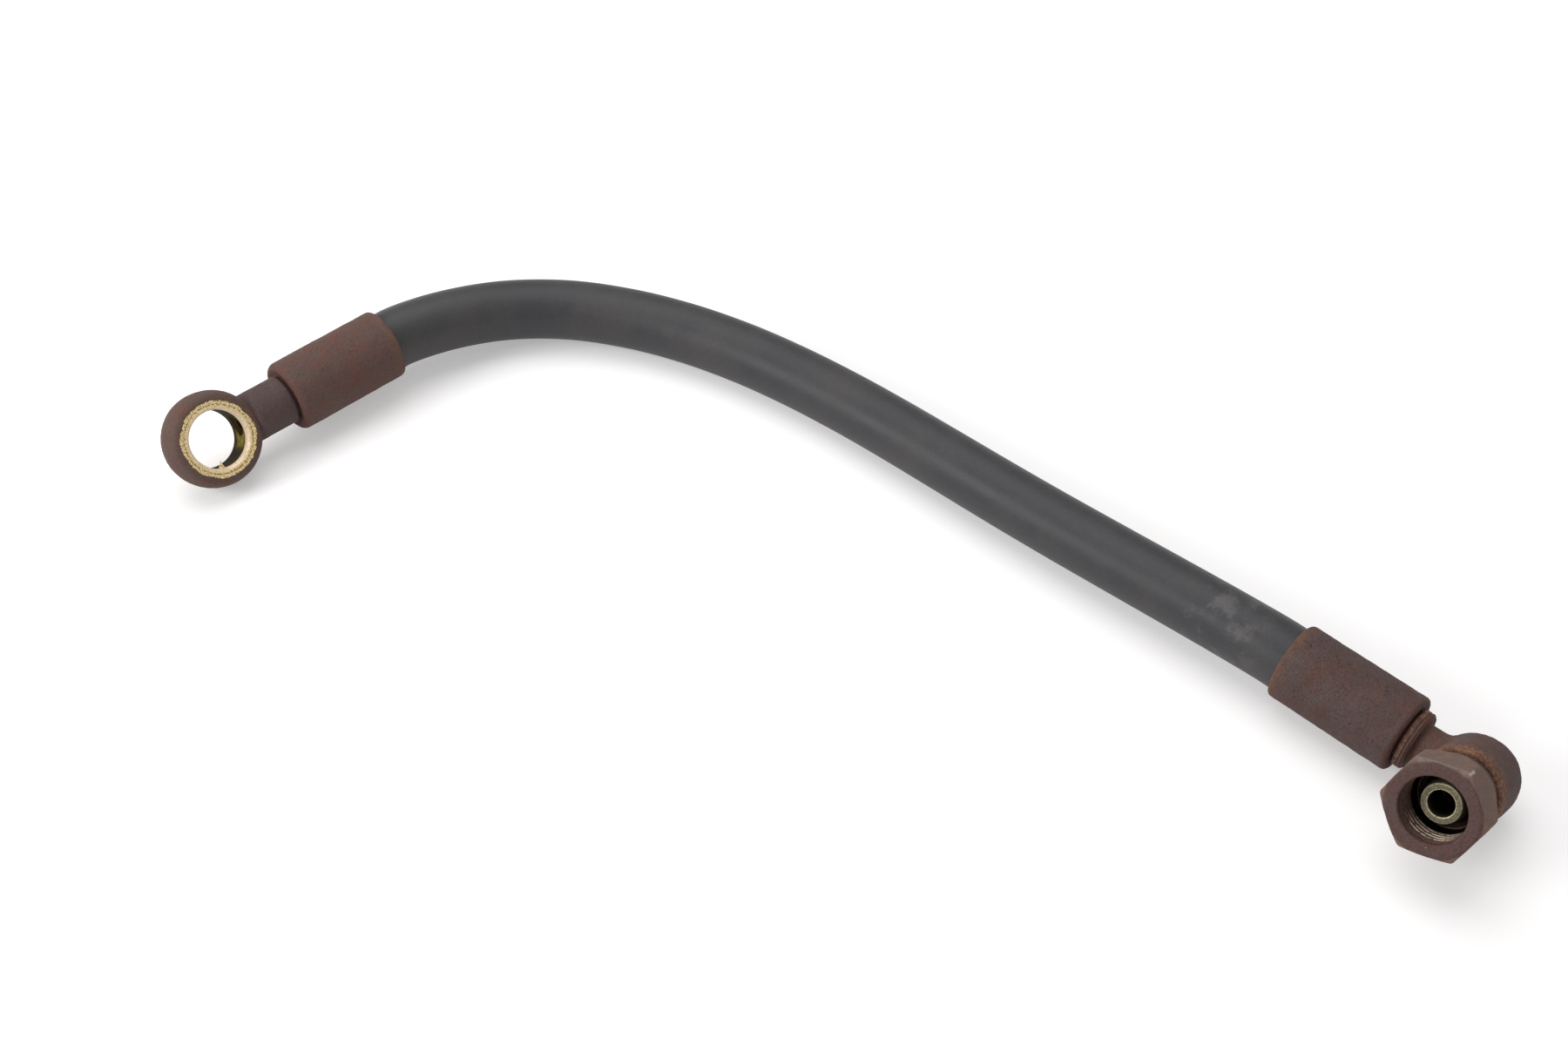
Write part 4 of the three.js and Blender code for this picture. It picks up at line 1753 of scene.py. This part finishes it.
@dataclass
class UnionNut:
    """The swivel union nut with its metric thread."""

    placing: Placing
    station: float
    front: float
    nose_length: float
    nose_neck: float
    across_flats: float = 22.7
    corner_wear: float = 0.25
    edge_wear: float = 0.09
    face_inset: float = 0.35
    front_slope: float = 30.0
    gap: float = 0.6
    recess: float = 6.2
    hex_length: float = 10.5
    rear_slope: float = 63.0
    skirt: float = 19.2
    lip_length: float = 1.8
    relief: float = 17.2
    thread_bore: float = 16.2
    thread_length: float = 9.2
    thread_depth: float = 0.8
    pitch: float = 1.5
    mouth_chamfer: float = 0.1
    mouth_round: float = 0.5
    counterbore: float = 2.2
    turn: float = 16.7
    clearance: float = 0.3
    sides: int = 240

    def build(self) -> None:
        """Makes the nut: a turned blank whose outside is pressed to the hexagon."""
        flat = self.across_flats / 2
        worn, rim = flat / math.cos(math.pi / 6) - self.corner_wear, flat - self.face_inset
        rear = self.front + self.gap
        face = self.front + self.nose_length + self.recess
        hex_rear = face - self.hex_length
        slope = math.tan(math.radians(self.rear_slope))
        lip = rear + self.lip_length
        neck = self.nose_neck / 2 + self.clearance
        thread_start = face - self.thread_length
        crest, ease = self.thread_bore / 2, self.mouth_round
        mouth = crest + self.mouth_chamfer
        bm = bmesh.new()
        Maker.turned(
            bm,
            [
                (neck, rear, 0.4),
                (self.skirt / 2, rear, 0.25),
                (flat, hex_rear, 0.2),
                (worn, hex_rear + (worn - flat) * slope, 0.25),
                (worn, face - (worn - rim) * math.tan(math.radians(self.front_slope)), 0.2),
                (rim, face, 0.25),
                *arc(mouth + ease, face - ease, ease, ease, 90, 180, 5, step=0.3),
                (mouth, face - self.counterbore, 0.12),
                (crest, face - self.counterbore - 0.2, 0.12),
                (crest, thread_start, 0.4),
                (self.relief / 2, thread_start, 0.8),
                (self.relief / 2, lip, 0.8),
                (neck, lip, 0.8),
            ],
            self.sides,
        )
        self._press_hexagon(bm, flat, hex_rear)
        self._cut_thread(bm, crest, thread_start, face)
        Maker.weathered(
            bm,
            Weather(swell=0.09, swell_size=3.5, grit=0.045, seed=19.0),
            lambda p: 1.0 if p.xy.length > mouth + 0.1 and p.z > rear + 0.05 else 0.0,
        )
        turned = Matrix.Rotation(math.radians(self.turn), 3, "Z")
        bmesh.ops.rotate(bm, verts=bm.verts, cent=(0, 0, 0), matrix=turned)
        place = self.placing.matrix(self.station)
        made = Maker.piece(bm, "swivel_union_nut", place, 28)
        worn_corner = math.radians(self.turn + 60)
        finish = NutFinish(face, flat, crest, self.thread_length, worn_corner).material(place)
        Maker.settle(made, finish, "union_nut", Body.NUT, Slot.NUT)

    def _press_hexagon(self, bm: bmesh.types.BMesh, flat: float, hex_rear: float) -> None:
        """Brings the outside in to the hexagon's flats.

        Args:
            bm: The turned blank.
            flat: Half the width across flats.
            hex_rear: Height where the flats begin.
        """
        for v in bm.verts:
            away = v.co.xy.length
            if away < flat - self.face_inset - 0.02 or v.co.z < hex_rear - 0.01:
                continue
            from_flat = math.atan2(v.co.y, v.co.x) % (TURN / 6) - TURN / 12
            planes = [flat / math.cos(from_flat + side * TURN / 6) for side in (-1, 0, 1)]
            reach = soft_least([away, *planes], self.edge_wear)
            v.co.x *= reach / away
            v.co.y *= reach / away

    def _cut_thread(self, bm: bmesh.types.BMesh, crest: float, start: float, face: float) -> None:
        """Moves the bore's wall outwards along a helix of vee grooves.

        Args:
            bm: The nut.
            crest: Radius of the thread's crests.
            start: Height of the thread's inner end.
            face: Height of the nut's face.
        """
        for v in bm.verts:
            away = v.co.xy.length
            top = face - self.counterbore - 0.1
            if not crest - 0.02 < away < crest + 0.02 or not start + 0.05 < v.co.z < top:
                continue
            turn = math.atan2(v.co.y, v.co.x) / TURN
            phase = (v.co.z / self.pitch - turn) % 1.0
            vee = min(max(1.25 * (1 - abs(2 * phase - 1)) - 0.12, 0.0), 1.0)
            fade = min((v.co.z - start) / 0.6, (top - v.co.z) / 2.5, 1.0)
            wanted = crest + self.thread_depth * vee * fade
            if wanted > away:
                v.co.x *= wanted / away
                v.co.y *= wanted / away


@dataclass(frozen=True)
class Softbox:
    """A square area lamp that faces the hose."""

    name: str
    place: Point
    size: float
    power: float

    def build(self, aim: Vector) -> None:
        """Makes the lamp.

        Args:
            aim: The point that it faces.
        """
        light = bpy.data.lights.new(self.name, "AREA")
        light.shape = "SQUARE"
        light.size = self.size
        light.energy = self.power
        lamp = bpy.data.objects.new(self.name, light)
        lamp.location = self.place
        lamp.rotation_euler = (aim - Vector(self.place)).to_track_quat("-Z", "Y").to_euler()
        bpy.context.scene.collection.objects.link(lamp)


@dataclass
class Studio:
    """The camera, the lights and the pale floor."""

    width: int = 1800
    focal_pixels: float = 2372.45
    sensor: float = 36.0
    near: float = 0.01
    aim: Vector = field(default_factory=lambda: Vector((-0.00164, 0.02828, 0.0)))
    distance: float = 0.56895
    downwards: float = 47.14
    roll: float = -0.51
    card: Colour = (0.80, 0.79, 0.79)
    card_roughness: float = 0.9
    glow: Colour = (1.0, 0.995, 0.99)
    glow_strength: float = 0.32
    floor_reach: float = 3.0
    sky_strength: float = 0.46
    lamps_aim: Vector = field(default_factory=lambda: Vector((0.0, 0.02, 0.0)))
    lamps: tuple[Softbox, ...] = (
        Softbox("overhead_softbox", (-0.2, 0.4, 1.2), 1.2, 8.5),
        Softbox("side_softbox", (-1.1, -0.33, 0.65), 0.6, 8.0),
    )

    def build(self) -> None:
        """Makes the camera, the floor, the world and the lamps."""
        self._camera()
        self._floor()
        self._world()
        for lamp in self.lamps:
            lamp.build(self.lamps_aim)

    def _camera(self) -> None:
        """Makes the camera at the photograph's viewing angle."""
        down, roll = math.radians(self.downwards), math.radians(self.roll)
        ahead = Vector((0, math.cos(down), -math.sin(down)))
        right, up = Vector((1, 0, 0)), Vector((0, math.sin(down), math.cos(down)))
        tilted_right = right * math.cos(roll) + up * math.sin(roll)
        tilted_up = up * math.cos(roll) - right * math.sin(roll)
        lens = bpy.data.cameras.new("studio_camera")
        lens.sensor_width = self.sensor
        lens.lens = self.focal_pixels / self.width * self.sensor
        lens.clip_start = self.near
        camera = bpy.data.objects.new("studio_camera", lens)
        turn = Matrix((tilted_right, tilted_up, -ahead)).transposed().to_4x4()
        camera.matrix_world = Matrix.Translation(self.aim - ahead * self.distance) @ turn
        bpy.context.scene.collection.objects.link(camera)
        bpy.context.scene.camera = camera

    def _card_material(self) -> bpy.types.Material:
        """White card that takes a soft shadow and still shows white to the camera.

        Returns:
            The material.
        """
        made = bpy.data.materials.new("white_card")
        made.use_nodes = True
        nodes, links = made.node_tree.nodes, made.node_tree.links
        card = nodes["Principled BSDF"]
        card.inputs["Base Color"].default_value = (*self.card, 1)
        card.inputs["Roughness"].default_value = self.card_roughness
        card.inputs["Specular IOR Level"].default_value = 0.0
        card.inputs["Emission Color"].default_value = (*self.glow, 1)
        path = nodes.new("ShaderNodeLightPath")
        seen = nodes.new("ShaderNodeMath")
        seen.operation = "MAXIMUM"
        links.new(path.outputs["Is Camera Ray"], seen.inputs[0])
        links.new(path.outputs["Is Glossy Ray"], seen.inputs[1])
        glow = nodes.new("ShaderNodeMath")
        glow.operation = "MULTIPLY"
        glow.inputs[1].default_value = self.glow_strength
        links.new(seen.outputs[0], glow.inputs[0])
        links.new(glow.outputs[0], card.inputs["Emission Strength"])
        return made

    def _floor(self) -> None:
        """Makes a wide card under the hose."""
        bm = bmesh.new()
        bmesh.ops.create_grid(bm, x_segments=1, y_segments=1, size=self.floor_reach)
        mesh = bpy.data.meshes.new("white_floor")
        bm.to_mesh(mesh)
        bm.free()
        mesh.materials.append(self._card_material())
        floor = bpy.data.objects.new("white_floor", mesh)
        bpy.context.scene.collection.objects.link(floor)

    def _world(self) -> None:
        """Makes a world that is pale to the object and white to the camera."""
        world = bpy.data.worlds.new("studio_world")
        world.use_nodes = True
        nodes, links = world.node_tree.nodes, world.node_tree.links
        sky = nodes["Background"]
        sky.inputs["Color"].default_value = (1, 1, 1, 1)
        path = nodes.new("ShaderNodeLightPath")
        mix = nodes.new("ShaderNodeMix")
        links.new(path.outputs["Is Camera Ray"], mix.inputs[0])
        mix.inputs[2].default_value = self.sky_strength
        mix.inputs[3].default_value = 1.0
        links.new(mix.outputs[0], sky.inputs["Strength"])
        bpy.context.scene.world = world


def main() -> None:
    """Builds the studio, then the hose, then both end fittings."""
    logging.basicConfig(level=logging.INFO, format="%(message)s")
    bpy.context.scene.view_settings.view_transform = "Standard"
    Studio().build()
    LOG.info("camera, floor and lamps")
    hose = Hose()
    hose.build()
    banjo = Placing(*hose.end(True), roll=-54.0)
    elbow = Placing(*hose.end(False), roll=61.4)
    CrimpedFerrule(
        "banjo_end_ferrule",
        "banjo_ferrule",
        banjo,
        Rust(
            ground=srgb(99, 79, 73), grey=srgb(102, 86, 83), red=srgb(112, 74, 65), grey_share=0.35,
            red_share=0.65, streaks=0.45, orange_share=0.12, pits=0.3, mottle=0.36, seed=1.0,
        ),
        Weather(swell=0.07, grit=0.045, seed=1.0),
    ).build()
    CrimpedFerrule(
        "elbow_end_ferrule",
        "elbow_ferrule",
        elbow,
        Rust(
            ground=srgb(87, 70, 66), grey=srgb(92, 79, 78), grey_share=0.6, red_share=0.45,
            orange_share=0.3, pits=0.75, mottle=0.5, seed=71.0,
        ),
        Weather(swell=0.09, grit=0.06, seed=2.0),
        edge=1.4,
    ).build()
    BanjoEnd(banjo).build()
    ElbowEnd(elbow).build()


if __name__ == "__main__":
    main()
